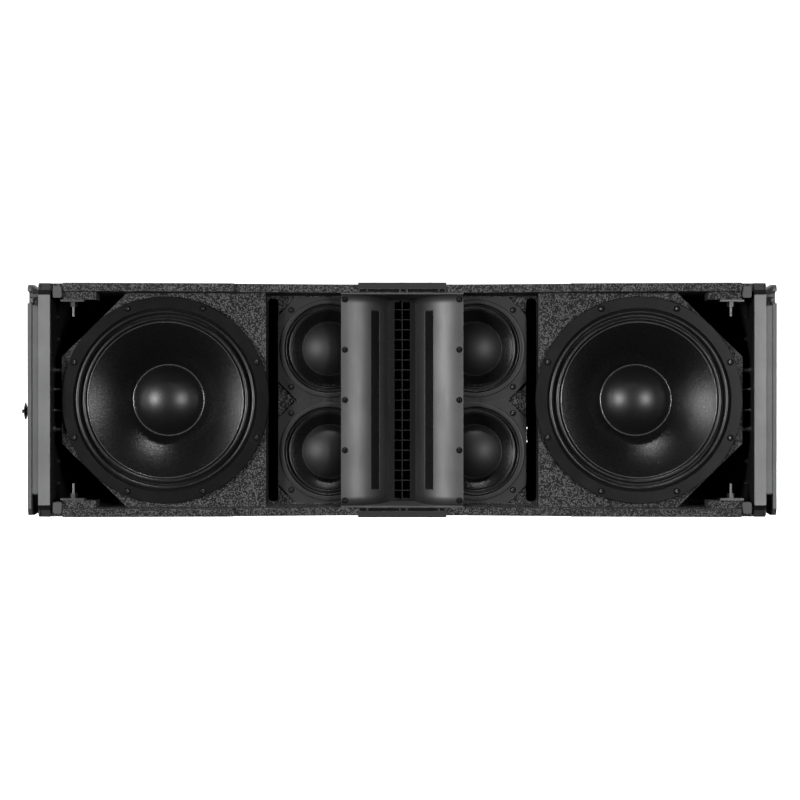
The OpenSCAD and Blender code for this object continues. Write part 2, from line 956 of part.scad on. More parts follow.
panel_x = 250;
panel_z = 110;
panel_t = 4;
face_d = cab_d + panel_t;
control_z = -60;
socket_xs = [-165, -125, -60, -10];
socket_hole = 12;
window_x = [58, 122];
knob_x = 160;
shaft_r = 3;
button_x = 190;
select_r = 4;
rocker_x = 222;
rocker_w = 6;
rocker_tilt = 7;
rocker_cut = [6.4, 13];
panel_screws = [[-243, -103], [243, -103], [-243, 103], [243, 103], [-243, 0], [243, 0]];
// Places children, drawn with local +Z towards the rear, at x, depth and height
module rearward(x, d, z)
  translate([x, front_y + d, z])
    rotate([-90, 0, 0])
      children();

module amp_panel()
  color(colour_steel)
    difference() {
      deep(cab_d)
        translate([-panel_x, 0, -panel_z])
          cube([2 * panel_x, panel_t, 2 * panel_z]);
      for (x = socket_xs)
        rearward(x, cab_d - 1, control_z)
          cylinder(h = panel_t + 2, r = socket_hole);
      rearward(knob_x, cab_d - 1, control_z)
        cylinder(h = panel_t + 2, r = shaft_r + 0.1);
      rearward(button_x, cab_d - 1, control_z)
        cylinder(h = panel_t + 2, r = select_r + 0.15);
      deep(cab_d - 1)
        translate([rocker_x - rocker_cut[0], 0, control_z - rocker_cut[1]])
          cube([2 * rocker_cut[0], panel_t + 2, 2 * rocker_cut[1]]);
      sideways(rocker_x - rocker_cut[0] - 2, cab_d + panel_t / 2, control_z)
        cylinder(h = 2 * rocker_cut[0] + 4, r = 1.25);
      for (p = panel_screws)
        rearward(p[0], cab_d - 1, p[1])
          cylinder(h = panel_t + 2, r = 1.7);
    }

sink_x = 225;
sink_z = [-18, 96];
fin_pitch = 15;
fin_t = 3;
module heat_sink()
  color(colour_cast) {
    deep(face_d)
      translate([-sink_x, 0, sink_z[0]])
        cube([2 * sink_x, 5, sink_z[1] - sink_z[0]]);
    for (x = [-sink_x : fin_pitch : sink_x - fin_t])
      deep(face_d)
        translate([x, 0, sink_z[0]])
          cube([fin_t, full_d - face_d, sink_z[1] - sink_z[0]]);
  }

pcb_d = 408;
module circuit_board()
  color(colour_board) {
    deep(pcb_d)
      translate([-165, 0, -88])
        cube([330, 2, 176]);
    for (x = [-155, 155], z = [-78, 78])
      rearward(x, pcb_d + 2, z)
        cylinder(h = cab_d - pcb_d - 2, r = 4);
    rearward(-90, pcb_d - 34, 30)
      cylinder(h = 34, r = 38);
    for (x = [0 : 24 : 72], z = [10, 40])
      rearward(x, pcb_d - 28, z)
        cylinder(h = 28, r = 10);
    deep(pcb_d - 22)
      translate([-10, 0, -70])
        cube([120, 22, 8]);
  }

socket_depth = 18;
module sockets()
  color(colour_cast)
    for (k = [0 : 3])
      rearward(socket_xs[k], face_d, control_z)
        difference() {
          union() {
            linear_extrude(2)
              rounded(-13, -15.5, 13, 15.5, 3);
            translate([0, 0, -24])
              cylinder(h = 25, r = socket_hole - 0.2);
          }
          translate([0, 0, 2 - socket_depth])
            cylinder(h = socket_depth + 1, r = 9.6);
        }

module display_window()
  color([0.03, 0.03, 0.04])
    deep(face_d)
      translate([window_x[0], 0, control_z - 17])
        cube([window_x[1] - window_x[0], 1.2, 34]);

knob_r = 10;
module encoder_knob()
  color(colour_cast)
    rearward(knob_x, cab_d - 8, control_z) {
      cylinder(h = panel_t + 14, r = shaft_r);
      translate([0, 0, panel_t + 8.6])
        difference() {
          cylinder(h = 12, r = knob_r);
          for (k = [0 : 15])
            rotate(22.5 * k)
              translate([knob_r, 0, 1.5])
                cylinder(h = 11, r = 0.8, $fn = 16);
        }
    }

module select_button()
  color(colour_bright)
    rearward(button_x, cab_d - 5, control_z) {
      cylinder(h = panel_t + 8, r = select_r);
      cylinder(h = 2, r = select_r + 2);
    }

module power_rocker()
  color([0.05, 0.05, 0.05]) {
    across(rocker_x - rocker_w, rocker_x + rocker_w)
      translate([cab_d + panel_t / 2, control_z])
        rotate(-rocker_tilt)
          polygon([[-4, -6], [-4, 6], [1.5, 10.5], [3.6, 10], [2.6, 0], [3.6, -10], [1.5, -10.5]]);
    sideways(rocker_x - rocker_cut[0] - 1.4, cab_d + panel_t / 2, control_z)
      cylinder(h = 2 * rocker_cut[0] + 2.8, r = 1.2);
  }

// Recessed handles: a cup let into the rear board with a bar across it
cup_d0 = 398;
cup_t = 2.5;
bar_d = 438;
bar_r = 9;
module handle_cups()
  color(colour_cast)
    both_sides() {
      difference() {
        union() {
          deep(cup_d0)
            translate([cup_x - cup_w / 2 + 0.2, 0, -cup_h / 2 + 0.2])
              cube([cup_w - 0.4, cab_d - cup_d0, cup_h - 0.4]);
          rearward(cup_x, cab_d, 0)
            linear_extrude(3)
              rounded(-cup_w / 2 - 8, -cup_h / 2 - 8, cup_w / 2 + 8, cup_h / 2 + 8, 8);
        }
        deep(cup_d0 + cup_t)
          translate([cup_x - cup_w / 2 + cup_t, 0, -cup_h / 2 + cup_t])
            cube([cup_w - 2 * cup_t, cab_d - cup_d0 + 1, cup_h - 2 * cup_t]);
      }
      translate([cup_x, front_y + bar_d, -cup_h / 2 + cup_t / 2])
        cylinder(h = cup_h - cup_t, r = bar_r);
    }

top_board();
bottom_board();
side_board_left();
side_board_right();
rear_board();
woofer_baffle_left();
woofer_baffle_right();
mid_baffle();
partitions();
corner_blocks();
edge_bumpers();
grille_studs();
cavity_bolts();
rig_bracket_left();
rig_bracket_right();
side_plate_left();
side_plate_right();
channel_spacers();
plate_screws();
front_link_left();
front_link_right();
front_pin_left();
front_pin_right();
pin_button_left();
pin_button_right();
rear_link_left();
rear_link_right();
woofer_basket_left();
woofer_basket_right();
woofer_surround_left();
woofer_surround_right();
woofer_cone_left();
woofer_cone_right();
woofer_spiders();
woofer_motors();
woofer_screws();
mid_frames();
mid_motors();
mid_surrounds();
mid_cone_upper_left();
mid_cone_upper_right();
mid_cone_lower_left();
mid_cone_lower_right();
small_screws();
horn_flare_left();
horn_flare_right();
horn_plates();
hf_grid();
waveguide();
hf_drivers();
centre_plates();
amp_panel();
heat_sink();
circuit_board();
sockets();
display_window();
encoder_knob();
select_button();
power_rocker();
handle_cups();
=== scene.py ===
import json
import math

import bmesh
import bpy
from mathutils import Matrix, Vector
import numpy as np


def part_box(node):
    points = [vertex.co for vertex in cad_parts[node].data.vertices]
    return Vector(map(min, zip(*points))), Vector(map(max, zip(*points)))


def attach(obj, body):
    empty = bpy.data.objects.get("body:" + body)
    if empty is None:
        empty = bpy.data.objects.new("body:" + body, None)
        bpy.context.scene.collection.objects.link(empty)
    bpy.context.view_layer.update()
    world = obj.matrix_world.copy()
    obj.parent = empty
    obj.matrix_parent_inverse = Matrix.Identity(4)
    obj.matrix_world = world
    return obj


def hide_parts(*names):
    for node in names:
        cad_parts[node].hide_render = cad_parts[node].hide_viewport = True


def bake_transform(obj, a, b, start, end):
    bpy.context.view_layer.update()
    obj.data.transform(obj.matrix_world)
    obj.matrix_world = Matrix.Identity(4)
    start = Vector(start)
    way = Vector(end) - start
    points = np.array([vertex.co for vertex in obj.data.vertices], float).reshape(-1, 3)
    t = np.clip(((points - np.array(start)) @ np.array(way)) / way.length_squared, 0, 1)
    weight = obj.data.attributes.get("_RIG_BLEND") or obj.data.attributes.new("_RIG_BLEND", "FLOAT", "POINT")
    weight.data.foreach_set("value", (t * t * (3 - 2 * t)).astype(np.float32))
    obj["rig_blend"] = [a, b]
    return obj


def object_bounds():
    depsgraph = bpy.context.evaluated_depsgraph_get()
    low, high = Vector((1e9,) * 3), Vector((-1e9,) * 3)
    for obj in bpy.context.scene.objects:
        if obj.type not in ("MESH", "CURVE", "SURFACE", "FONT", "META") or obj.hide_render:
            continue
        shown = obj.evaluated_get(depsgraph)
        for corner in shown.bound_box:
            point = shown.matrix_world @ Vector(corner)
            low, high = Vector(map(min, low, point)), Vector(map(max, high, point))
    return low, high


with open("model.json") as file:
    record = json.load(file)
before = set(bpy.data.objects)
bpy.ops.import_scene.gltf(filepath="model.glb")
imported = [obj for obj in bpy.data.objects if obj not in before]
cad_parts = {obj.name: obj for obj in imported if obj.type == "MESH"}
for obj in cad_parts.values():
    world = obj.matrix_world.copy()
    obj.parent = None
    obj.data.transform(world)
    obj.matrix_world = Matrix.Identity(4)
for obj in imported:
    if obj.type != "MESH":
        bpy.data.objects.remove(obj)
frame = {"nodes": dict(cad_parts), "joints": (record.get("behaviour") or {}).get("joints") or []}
cad_box = [list(corner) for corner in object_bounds()]
MM = 0.001
SIDES = ("left", "right")
ROWS = ("upper", "lower")
# Slope of the top and bottom boards and the centre plates
TAPER = math.radians(3.5)


# ---------------------------------------------------------------- node helpers

class Tree:
    """A material's node tree, with short ways to add and join nodes."""

    def __init__(self, name):
        self.material = bpy.data.materials.new(name)
        self.material.use_nodes = True
        self.nodes = self.material.node_tree.nodes
        self.links = self.material.node_tree.links
        self.shader = self.nodes["Principled BSDF"]
        self.coords = self.nodes.new("ShaderNodeTexCoord").outputs["Object"]

    def join(self, start, end):
        """Links an output to a socket."""
        self.links.new(start, end)

    def value(self, socket, number):
        """Sets a constant on a socket, or joins an output to it."""
        if hasattr(number, "links"):
            self.join(number, socket)
        else:
            socket.default_value = number

    def stretched(self, x, y, z):
        """The object coordinates, scaled apart along each axis."""
        node = self.nodes.new("ShaderNodeMapping")
        node.inputs["Scale"].default_value = (x, y, z)
        self.join(self.coords, node.inputs["Vector"])
        return node.outputs["Vector"]

    def noise(self, scale, detail=3.0, rough=0.55, coords=None, distort=0.0):
        """Fractal noise around 0.5; scale is in features per metre."""
        node = self.nodes.new("ShaderNodeTexNoise")
        node.inputs["Scale"].default_value = scale
        node.inputs["Detail"].default_value = detail
        node.inputs["Roughness"].default_value = rough
        node.inputs["Distortion"].default_value = distort
        self.join(coords or self.coords, node.inputs["Vector"])
        return node.outputs["Fac"]

    def cells(self, scale, feature="F1", coords=None):
        """Distance to the nearest of many scattered points."""
        node = self.nodes.new("ShaderNodeTexVoronoi")
        node.feature = feature
        node.inputs["Scale"].default_value = scale
        self.join(coords or self.coords, node.inputs["Vector"])
        return node.outputs["Distance"]

    def specks(self, scale):
        """A grey level for each small cell, at random."""
        node = self.nodes.new("ShaderNodeTexVoronoi")
        node.inputs["Scale"].default_value = scale
        self.join(self.coords, node.inputs["Vector"])
        return node.outputs["Color"]

    def away_from_middle(self):
        """Height above or below the middle of the cabinet, in metres."""
        node = self.nodes.new("ShaderNodeSeparateXYZ")
        self.join(self.coords, node.inputs["Vector"])
        return self.maths("ABSOLUTE", node.outputs["Z"], 0.0)

    def spread(self, fac, low, high, out_low=0.0, out_high=1.0):
        """Maps fac from low..high to out_low..out_high."""
        node = self.nodes.new("ShaderNodeMapRange")
        node.inputs["From Min"].default_value = low
        node.inputs["From Max"].default_value = high
        node.inputs["To Min"].default_value = out_low
        node.inputs["To Max"].default_value = out_high
        self.join(fac, node.inputs["Value"])
        return node.outputs["Result"]

    def maths(self, operation, a, b):
        """Result of one operation on two numbers or outputs."""
        node = self.nodes.new("ShaderNodeMath")
        node.operation = operation
        self.value(node.inputs[0], a)
        self.value(node.inputs[1], b)
        return node.outputs["Value"]

    def mix(self, fac, dark, light):
        """Colour between dark and light by fac."""
        node = self.nodes.new("ShaderNodeMix")
        node.data_type = "RGBA"
        self.value(node.inputs[0], fac)
        for socket, colour in ((node.inputs[6], dark), (node.inputs[7], light)):
            self.value(socket, colour if hasattr(colour, "links") else (*colour, 1.0))
        return node.outputs[2]

    def edge(self, radius):
        """1 near the sharp edges of a piece, 0 elsewhere."""
        bevel = self.nodes.new("ShaderNodeBevel")
        bevel.samples = 4
        bevel.inputs["Radius"].default_value = radius
        flat = self.nodes.new("ShaderNodeNewGeometry").outputs["Normal"]
        dot = self.nodes.new("ShaderNodeVectorMath")
        dot.operation = "DOT_PRODUCT"
        self.join(bevel.outputs["Normal"], dot.inputs[0])
        self.join(flat, dot.inputs[1])
        untouched, fully_rounded = 0.97, 0.80
        return self.spread(dot.outputs["Value"], untouched, fully_rounded)

    def bump(self, height, distance, strength=1.0, under=None):
        """Normal of a surface raised by height times distance, on top of the normal in under."""
        node = self.nodes.new("ShaderNodeBump")
        node.inputs["Strength"].default_value = strength
        node.inputs["Distance"].default_value = distance
        self.join(height, node.inputs["Height"])
        if under:
            self.join(under, node.inputs["Normal"])
        return node.outputs["Normal"]

    def finish(self, colour, rough, normal=None, metallic=0.0, specular=0.5, coat=0.0, coat_rough=0.1,
               sheen=0.0):
        """Fills in the shader and returns the material."""
        sockets = self.shader.inputs
        self.value(sockets["Base Color"], colour)
        self.value(sockets["Roughness"], rough)
        if normal:
            self.join(normal, sockets["Normal"])
        sockets["Metallic"].default_value = metallic
        sockets["Specular IOR Level"].default_value = specular
        sockets["Coat Weight"].default_value = coat
        sockets["Coat Roughness"].default_value = coat_rough
        sockets["Sheen Weight"].default_value = sheen
        return self.material


# ---------------------------------------------------------------- materials

def textured_paint(name, glint_grey):
    """Hard black cabinet coating: small pebbles of paint, rubbed smoother and lighter along the edges. Its
    lighter grey specks are painted glints off the pebble tops.
    """
    t = Tree(name)
    pebble = t.cells(820, "SMOOTH_F1")
    grain = t.noise(820, 2.0, 0.55)
    # Painted glints: lighter grey specks in the colour stand for light caught by the pebble tops.
    painted_glints = t.spread(t.specks(680), 0.58, 0.68)
    patch = t.noise(9, 3.0, 0.5)
    worn = t.maths("MULTIPLY", t.edge(0.0016), t.spread(t.noise(60, 4.0, 0.6), 0.48, 0.66))
    dark = t.mix(painted_glints, (0.0025, 0.0025, 0.003), (glint_grey, glint_grey, 1.02 * glint_grey))
    colour = t.mix(t.maths("MULTIPLY", worn, 0.40), dark, (0.13, 0.128, 0.12))
    rough = t.maths("ADD", t.spread(painted_glints, 0.0, 1.0, 0.62, 0.40), t.spread(patch, 0.3, 0.7, -0.03, 0.03))
    height = t.maths("ADD", t.spread(pebble, 0.0, 0.6, 1.0, 0.0), t.maths("MULTIPLY", grain, 1.6))
    return t.finish(colour, rough, t.bump(height, 0.0006, 1.0), specular=0.42)


def powder_coat(name, base, rough_low, rough_high, wear=0.6, fine=1500, bump=0.00006, metallic=0.0,
                shade_at_folds=()):
    """Satin powder coat on steel: fine orange peel, faint handling marks, metal at rubbed edges.
    Above and below each fold height in the last argument, the colour is darker by the factor that follows it:
    painted shade in the crease and on the bent-back ends of the sheet."""
    t = Tree(name)
    peel = t.noise(fine, 2.0, 0.5)
    cloud = t.noise(14, 4.0, 0.6)
    scuffs = t.noise(40, 6.0, 0.7, t.stretched(1.0, 1.0, 0.12))
    worn = t.maths("MULTIPLY", t.edge(0.0012), t.spread(t.noise(90, 4.0, 0.65), 0.42, 0.62, 0.0, wear))
    tone = t.spread(cloud, 0.3, 0.7)
    low = tuple(0.88 * c for c in base)
    high = tuple(1.12 * c for c in base)
    colour = t.mix(worn, t.mix(tone, low, high), (0.34, 0.335, 0.32))
    soft = 0.0006
    # Painted shade: a darker band past each fold height, for the crease and the bent-back ends of the sheet.
    for height, factor in shade_at_folds:
        shaded_band = t.spread(t.away_from_middle(), height, height + soft)
        colour = t.mix(shaded_band, colour, tuple(factor * c for c in base))
    scuffed = t.spread(scuffs, 0.35, 0.7, rough_low, rough_high)
    rough = t.maths("SUBTRACT", scuffed, t.maths("MULTIPLY", worn, 0.12))
    return t.finish(colour, rough, t.bump(peel, bump, 0.6), metallic=metallic)


def cast_black():
    """Smooth black enamel on a die-cast frame."""
    t = Tree("cast_black")
    cloud = t.noise(22, 4.0, 0.6)
    fine = t.noise(420, 3.0, 0.6)
    worn = t.maths("MULTIPLY", t.edge(0.0008), t.spread(t.noise(120, 3.0), 0.5, 0.68, 0.0, 0.5))
    enamel = t.mix(cloud, (0.0038, 0.0038, 0.0041), (0.0068, 0.0068, 0.0073))
    colour = t.mix(worn, enamel, (0.11, 0.11, 0.105))
    rough = t.spread(cloud, 0.3, 0.7, 0.31, 0.38)
    return t.finish(colour, rough, t.bump(fine, 0.00004, 0.4), specular=0.30)


def gasket_ring():
    """Dark grey moulded ring with a dull surface."""
    t = Tree("gasket_ring")
    cloud = t.noise(60, 4.0, 0.6)
    colour = t.mix(cloud, (0.014, 0.014, 0.0145), (0.024, 0.024, 0.0245))
    rough = t.spread(t.noise(300, 3.0), 0.3, 0.7, 0.42, 0.54)
    return t.finish(colour, rough, t.bump(t.noise(800, 2.0), 0.00006, 0.5), specular=0.45)


def treated_cloth():
    """Black impregnated cloth of the surrounds: a fine weave under a sticky dope."""
    t = Tree("treated_cloth")
    weave = t.maths("MULTIPLY", t.noise(2200, 1.0, 0.5, t.stretched(1, 1, 0.15)),
                    t.noise(2200, 1.0, 0.5, t.stretched(0.15, 1, 1)))
    dope = t.noise(70, 4.0, 0.6)
    colour = t.mix(dope, (0.0035, 0.0035, 0.0038), (0.0085, 0.0085, 0.009))
    rough = t.spread(dope, 0.3, 0.7, 0.30, 0.42)
    return t.finish(colour, rough, t.bump(weave, 0.00012, 0.7), specular=0.55, coat=0.12, coat_rough=0.3,
                    sheen=0.03)


def cone_paper():
    """Pressed paper cone with a thin black coating: short fibres and shallow pulp lumps."""
    t = Tree("cone_paper")
    fibres = t.noise(620, 5.0, 0.7, t.stretched(1.0, 0.6, 1.0), 1.2)
    lumps = t.noise(130, 3.0, 0.6)
    colour = t.mix(t.spread(fibres, 0.35, 0.7), (0.0025, 0.0025, 0.0027), (0.0085, 0.0085, 0.0088))
    rough = t.spread(fibres, 0.3, 0.7, 0.24, 0.34)
    height = t.maths("ADD", fibres, t.maths("MULTIPLY", lumps, 0.5))
    return t.finish(colour, rough, t.bump(height, 0.00026, 0.9), specular=0.29)


def cap_coat(name, rough_low, rough_high):
    """Coated dust cap: smooth, dark and fairly shiny, with faint ripples."""
    t = Tree(name)
    ripples = t.noise(85, 3.0, 0.5)
    fine = t.noise(900, 3.0, 0.6)
    colour = t.mix(ripples, (0.0025, 0.0025, 0.0027), (0.0055, 0.0055, 0.0058))
    rough = t.spread(fine, 0.3, 0.7, rough_low, rough_high)
    normal = t.bump(fine, 0.00006, 0.6, under=t.bump(ripples, 0.0003, 0.35))
    return t.finish(colour, rough, normal, specular=0.75)


def glue_bead_painted_highlight():
    """Clear adhesive bead, wet looking; its grey colour, much lighter than black, is a painted highlight along
    the bead.
    """
    t = Tree("glue_bead_painted_highlight")
    lumps = t.noise(260, 3.0, 0.5)
    colour = t.mix(lumps, (0.05, 0.05, 0.052), (0.085, 0.085, 0.088))
    rough = t.spread(lumps, 0.3, 0.7, 0.16, 0.3)
    return t.finish(colour, rough, t.bump(lumps, 0.0002, 0.5), specular=0.7, coat=0.5, coat_rough=0.12)


def bare_metal(name, base, rough_low, rough_high):
    """Turned or plated metal with fine tool marks."""
    t = Tree(name)
    marks = t.noise(2600, 2.0, 0.6, t.stretched(0.08, 1.0, 1.0))
    cloud = t.noise(120, 4.0, 0.6)
    colour = t.mix(cloud, tuple(0.8 * c for c in base), base)
    rough = t.spread(t.maths("ADD", marks, cloud), 0.6, 1.4, rough_low, rough_high)
    return t.finish(colour, rough, t.bump(marks, 0.00003, 0.5), metallic=1.0)


def black_oxide():
    """Blackened screws, with the coating rubbed off the edges of the drive."""
    t = Tree("black_oxide")
    cloud = t.noise(400, 3.0, 0.6)
    worn = t.maths("MULTIPLY", t.edge(0.0004), t.spread(cloud, 0.4, 0.6, 0.0, 0.8))
    colour = t.mix(worn, t.mix(cloud, (0.006, 0.006, 0.006), (0.014, 0.014, 0.0145)), (0.22, 0.21, 0.20))
    rough = t.spread(cloud, 0.3, 0.7, 0.30, 0.42)
    return t.finish(colour, rough, t.bump(cloud, 0.00004, 0.5), metallic=0.4)


def moulded(name, base, rough_low, rough_high, fine=900):
    """Moulded plastic or rubber with a light spark-eroded grain."""
    t = Tree(name)
    grain = t.noise(fine, 3.0, 0.6)
    cloud = t.noise(35, 4.0, 0.6)
    colour = t.mix(cloud, tuple(0.85 * c for c in base), tuple(1.15 * c for c in base))
    rough = t.spread(grain, 0.3, 0.7, rough_low, rough_high)
    return t.finish(colour, rough, t.bump(grain, 0.0001, 0.6), specular=0.42)


def black_foam_and_painted_shade():
    """Black open-cell foam behind the slots of the flares. The same black also serves as painted shade: rings
    round the front screws, a ring round each woofer's surround and strips behind the centre plates' slots.
    """
    t = Tree("black_foam_and_painted_shade")
    pores = t.cells(650)
    fine = t.noise(1300, 3.0, 0.7)
    colour = t.mix(t.spread(pores, 0.1, 0.6), (0.0015, 0.0015, 0.0015), (0.010, 0.010, 0.0102))
    rough = t.spread(fine, 0.3, 0.7, 0.85, 1.0)
    return t.finish(colour, rough, t.bump(t.maths("ADD", pores, fine), 0.0006, 0.9), specular=0.12)


def circuit_lacquer():
    """Green lacquered board with paler tracks."""
    t = Tree("circuit_lacquer")
    tracks = t.cells(160, "DISTANCE_TO_EDGE", t.stretched(1, 0.01, 1))
    colour = t.mix(t.spread(tracks, 0.02, 0.05), (0.05, 0.20, 0.09), (0.012, 0.07, 0.03))
    rough = t.spread(t.noise(60, 3.0), 0.3, 0.7, 0.25, 0.4)
    return t.finish(colour, rough, t.bump(tracks, 0.0001, 0.5), coat=0.4, coat_rough=0.15)


def spider_cloth():
    """Resin-stiffened woven cloth, amber."""
    t = Tree("spider_cloth")
    weave = t.maths("MULTIPLY", t.noise(1800, 1.0, 0.5, t.stretched(1, 1, 0.12)),
                    t.noise(1800, 1.0, 0.5, t.stretched(0.12, 1, 1)))
    colour = t.mix(t.spread(weave, 0.15, 0.35), (0.30, 0.20, 0.07), (0.55, 0.40, 0.18))
    rough = t.spread(weave, 0.15, 0.35, 0.6, 0.8)
    return t.finish(colour, rough, t.bump(weave, 0.0002, 0.8), sheen=0.1)


def window_gloss():
    """Glossy black window with fingerprints."""
    t = Tree("window_gloss")
    smears = t.noise(45, 5.0, 0.7, None, 1.5)
    colour = t.mix(smears, (0.004, 0.004, 0.005), (0.010, 0.010, 0.012))
    rough = t.spread(smears, 0.45, 0.65, 0.04, 0.20)
    waves = t.bump(t.noise(25, 1.0), 0.0001, 0.2)
    return t.finish(colour, rough, waves, specular=0.6, coat=0.6, coat_rough=0.04)


PAINT = textured_paint("textured_paint", 0.110)
# A much darker copy of the cabinet paint for the cavity walls and partitions: painted shade inside the cavities.
CAVITY_SHADE = textured_paint("cavity_wall_painted_shade", 0.010)
# The brackets' colour darkens at the crease and on the bent-back top and bottom ends: painted shade.
STEEL = powder_coat("rigging_powder_coat", (0.215, 0.216, 0.218), 0.54, 0.64, metallic=0.85,
                    shade_at_folds=((0.1585, 0.06), (0.166, 0.30)))
LINK = powder_coat("link_coat", (0.022, 0.022, 0.023), 0.45, 0.55, wear=0.4)
PLATE = powder_coat("plate_powder_coat", (0.145, 0.146, 0.148), 0.54, 0.64, metallic=0.85)
# Near-black colour for the side plates' rounded edges: painted shade where they turn away from the light.
PLATE_EDGE_SHADE = powder_coat("plate_edge_painted_shade", (0.010, 0.010, 0.0102), 0.50, 0.60, wear=0.2)
LIP = powder_coat("centre_plate_coat", (0.030, 0.030, 0.031), 0.50, 0.60, metallic=0.5)
FLARE = powder_coat("flare_powder_coat", (0.128, 0.128, 0.130), 0.50, 0.57, wear=0.5, bump=0.00004,
                    metallic=0.90)
AMP = powder_coat("black_anodised", (0.022, 0.022, 0.024), 0.34, 0.46, wear=0.4, fine=2600)
CAST = cast_black()
RING = gasket_ring()
CLOTH = treated_cloth()
PAPER = cone_paper()
CAP = cap_coat("woofer_cap_coat", 0.38, 0.46)
MID_CAP = cap_coat("mid_cap_coat", 0.52, 0.60)
GLUE_HIGHLIGHT = glue_bead_painted_highlight()
CHROME = bare_metal("bright_steel", (0.72, 0.73, 0.75), 0.16, 0.32)
ZINC = bare_metal("blackened_zinc", (0.14, 0.14, 0.143), 0.35, 0.5)
HEADS = bare_metal("screw_steel", (0.10, 0.10, 0.102), 0.30, 0.42)
FRAME = powder_coat("mid_frame_coat", (0.017, 0.017, 0.0175), 0.42, 0.52, wear=0.3)
COPPER = bare_metal("gold_contacts", (0.85, 0.62, 0.25), 0.2, 0.35)
OXIDE = black_oxide()
PLASTIC = moulded("horn_plastic", (0.006, 0.006, 0.0063), 0.42, 0.58)
RUBBER = moulded("bumper_rubber", (0.085, 0.085, 0.087), 0.6, 0.75, 500)
FOAM_AND_SHADE = black_foam_and_painted_shade()
BOARD = circuit_lacquer()
SPIDER = spider_cloth()
WINDOW = window_gloss()


# ---------------------------------------------------------------- mesh helpers

def mesh_piece(name, bm, material, sharp=35.0):
    """Makes an object from a bmesh: smooth faces, with edges sharper than the angle kept crisp."""
    bmesh.ops.recalc_face_normals(bm, faces=bm.faces)
    mesh = bpy.data.meshes.new(name)
    bm.to_mesh(mesh)
    bm.free()
    for face in mesh.polygons:
        face.use_smooth = True
    mesh.set_sharp_from_angle(angle=math.radians(sharp))
    mesh.materials.append(material)
    piece = bpy.data.objects.new(name, mesh)
    bpy.context.scene.collection.objects.link(piece)
    return piece


def add_lathe(bm, profile, place, segments=128):
    """Adds a closed solid of revolution. profile is (radius, height) in millimetres; a radius of 0
    is a point on the axis. place turns (across, up, height) into a point in the frame."""
    rings = []
    for radius, height in profile:
        if radius == 0:
            rings.append([bm.verts.new(place(0.0, 0.0, height))])
            continue
        ring = []
        for k in range(segments):
            angle = 2 * math.pi * k / segments
            ring.append(bm.verts.new(place(radius * math.cos(angle), radius * math.sin(angle), height)))
        rings.append(ring)
    if profile[0][0] != 0:
        rings.append(rings[0])
    for one, two in zip(rings, rings[1:]):
        for k in range(segments):
            m = (k + 1) % segments
            corners = [one[k % len(one)], one[m % len(one)], two[m % len(two)], two[k % len(two)]]
            face = list(dict.fromkeys(corners))
            if len(face) > 2:
                bm.faces.new(face)


def facing(centre):
    """Placer for pieces that face the front: height runs towards -Y."""
    return lambda a, b, h: Vector((centre.x + a * MM, centre.y - h * MM, centre.z + b * MM))


def rearward(centre):
    """Placer for pieces that face the rear."""
    return lambda a, b, h: Vector((centre.x - a * MM, centre.y + h * MM, centre.z + b * MM))


def sideways(centre, side):
    """Placer for pieces that face away from the cabinet's left (-1) or right (+1) side."""
    return lambda a, b, h: Vector((centre.x + side * h * MM, centre.y + a * side * MM, centre.z + b * MM))


def upward(centre, up, tilt):
    """Placer for pieces on the sloping top (+1) or bottom (-1) board."""
    cos, sin = math.cos(tilt), math.sin(tilt)

    def place(a, b, h):
        return Vector((centre.x + a * MM, centre.y + (b * cos + h * sin) * MM,
                       centre.z + up * (h * cos - b * sin) * MM))
    return place


def lathe(name, profile, place, material, segments=128, sharp=35.0):
    """Makes an object from one closed solid of revolution."""
    bm = bmesh.new()
    add_lathe(bm, profile, place, segments)
    return mesh_piece(name, bm, material, sharp)


def add_screw_head(bm, place, radius, height, socket, segments=24):
    """Adds a domed head with a hexagonal socket."""
    def ring(r, h):
        return [bm.verts.new(place(r * math.cos(2 * math.pi * k / segments),
                                   r * math.sin(2 * math.pi * k / segments), h)) for k in range(segments)]

    def hexagon(h):
        points = []
        for k in range(segments):
            angle = 2 * math.pi * k / segments
            inner = (angle % (math.pi / 3)) - math.pi / 6
            r = socket / math.cos(inner)
            points.append(bm.verts.new(place(r * math.cos(angle), r * math.sin(angle), h)))
        return points

    rings = [ring(radius, 0.0), ring(radius, 0.30 * height), ring(0.93 * radius, 0.62 * height),
             ring(0.78 * radius, 0.88 * height), ring(0.62 * radius, height), hexagon(0.97 * height),
             hexagon(0.30 * height)]
    for one, two in zip(rings, rings[1:]):
        for k in range(segments):
            m = (k + 1) % segments
            bm.faces.new([one[k], one[m], two[m], two[k]])
    bm.faces.new(rings[0])
    bm.faces.new(rings[-1])


def round_rect(x0, z0, x1, z1, r, steps=6):
    """Outline of a rectangle with round corners, anticlockwise."""
    points = []
    corners = ((x1 - r, z1 - r, 0), (x0 + r, z1 - r, 90), (x0 + r, z0 + r, 180), (x1 - r, z0 + r, 270))
    for cx, cz, start in corners:
        for k in range(steps + 1):
            a = math.radians(start + 90 * k / steps)
            points.append((cx + r * math.cos(a), cz + r * math.sin(a)))
    return points


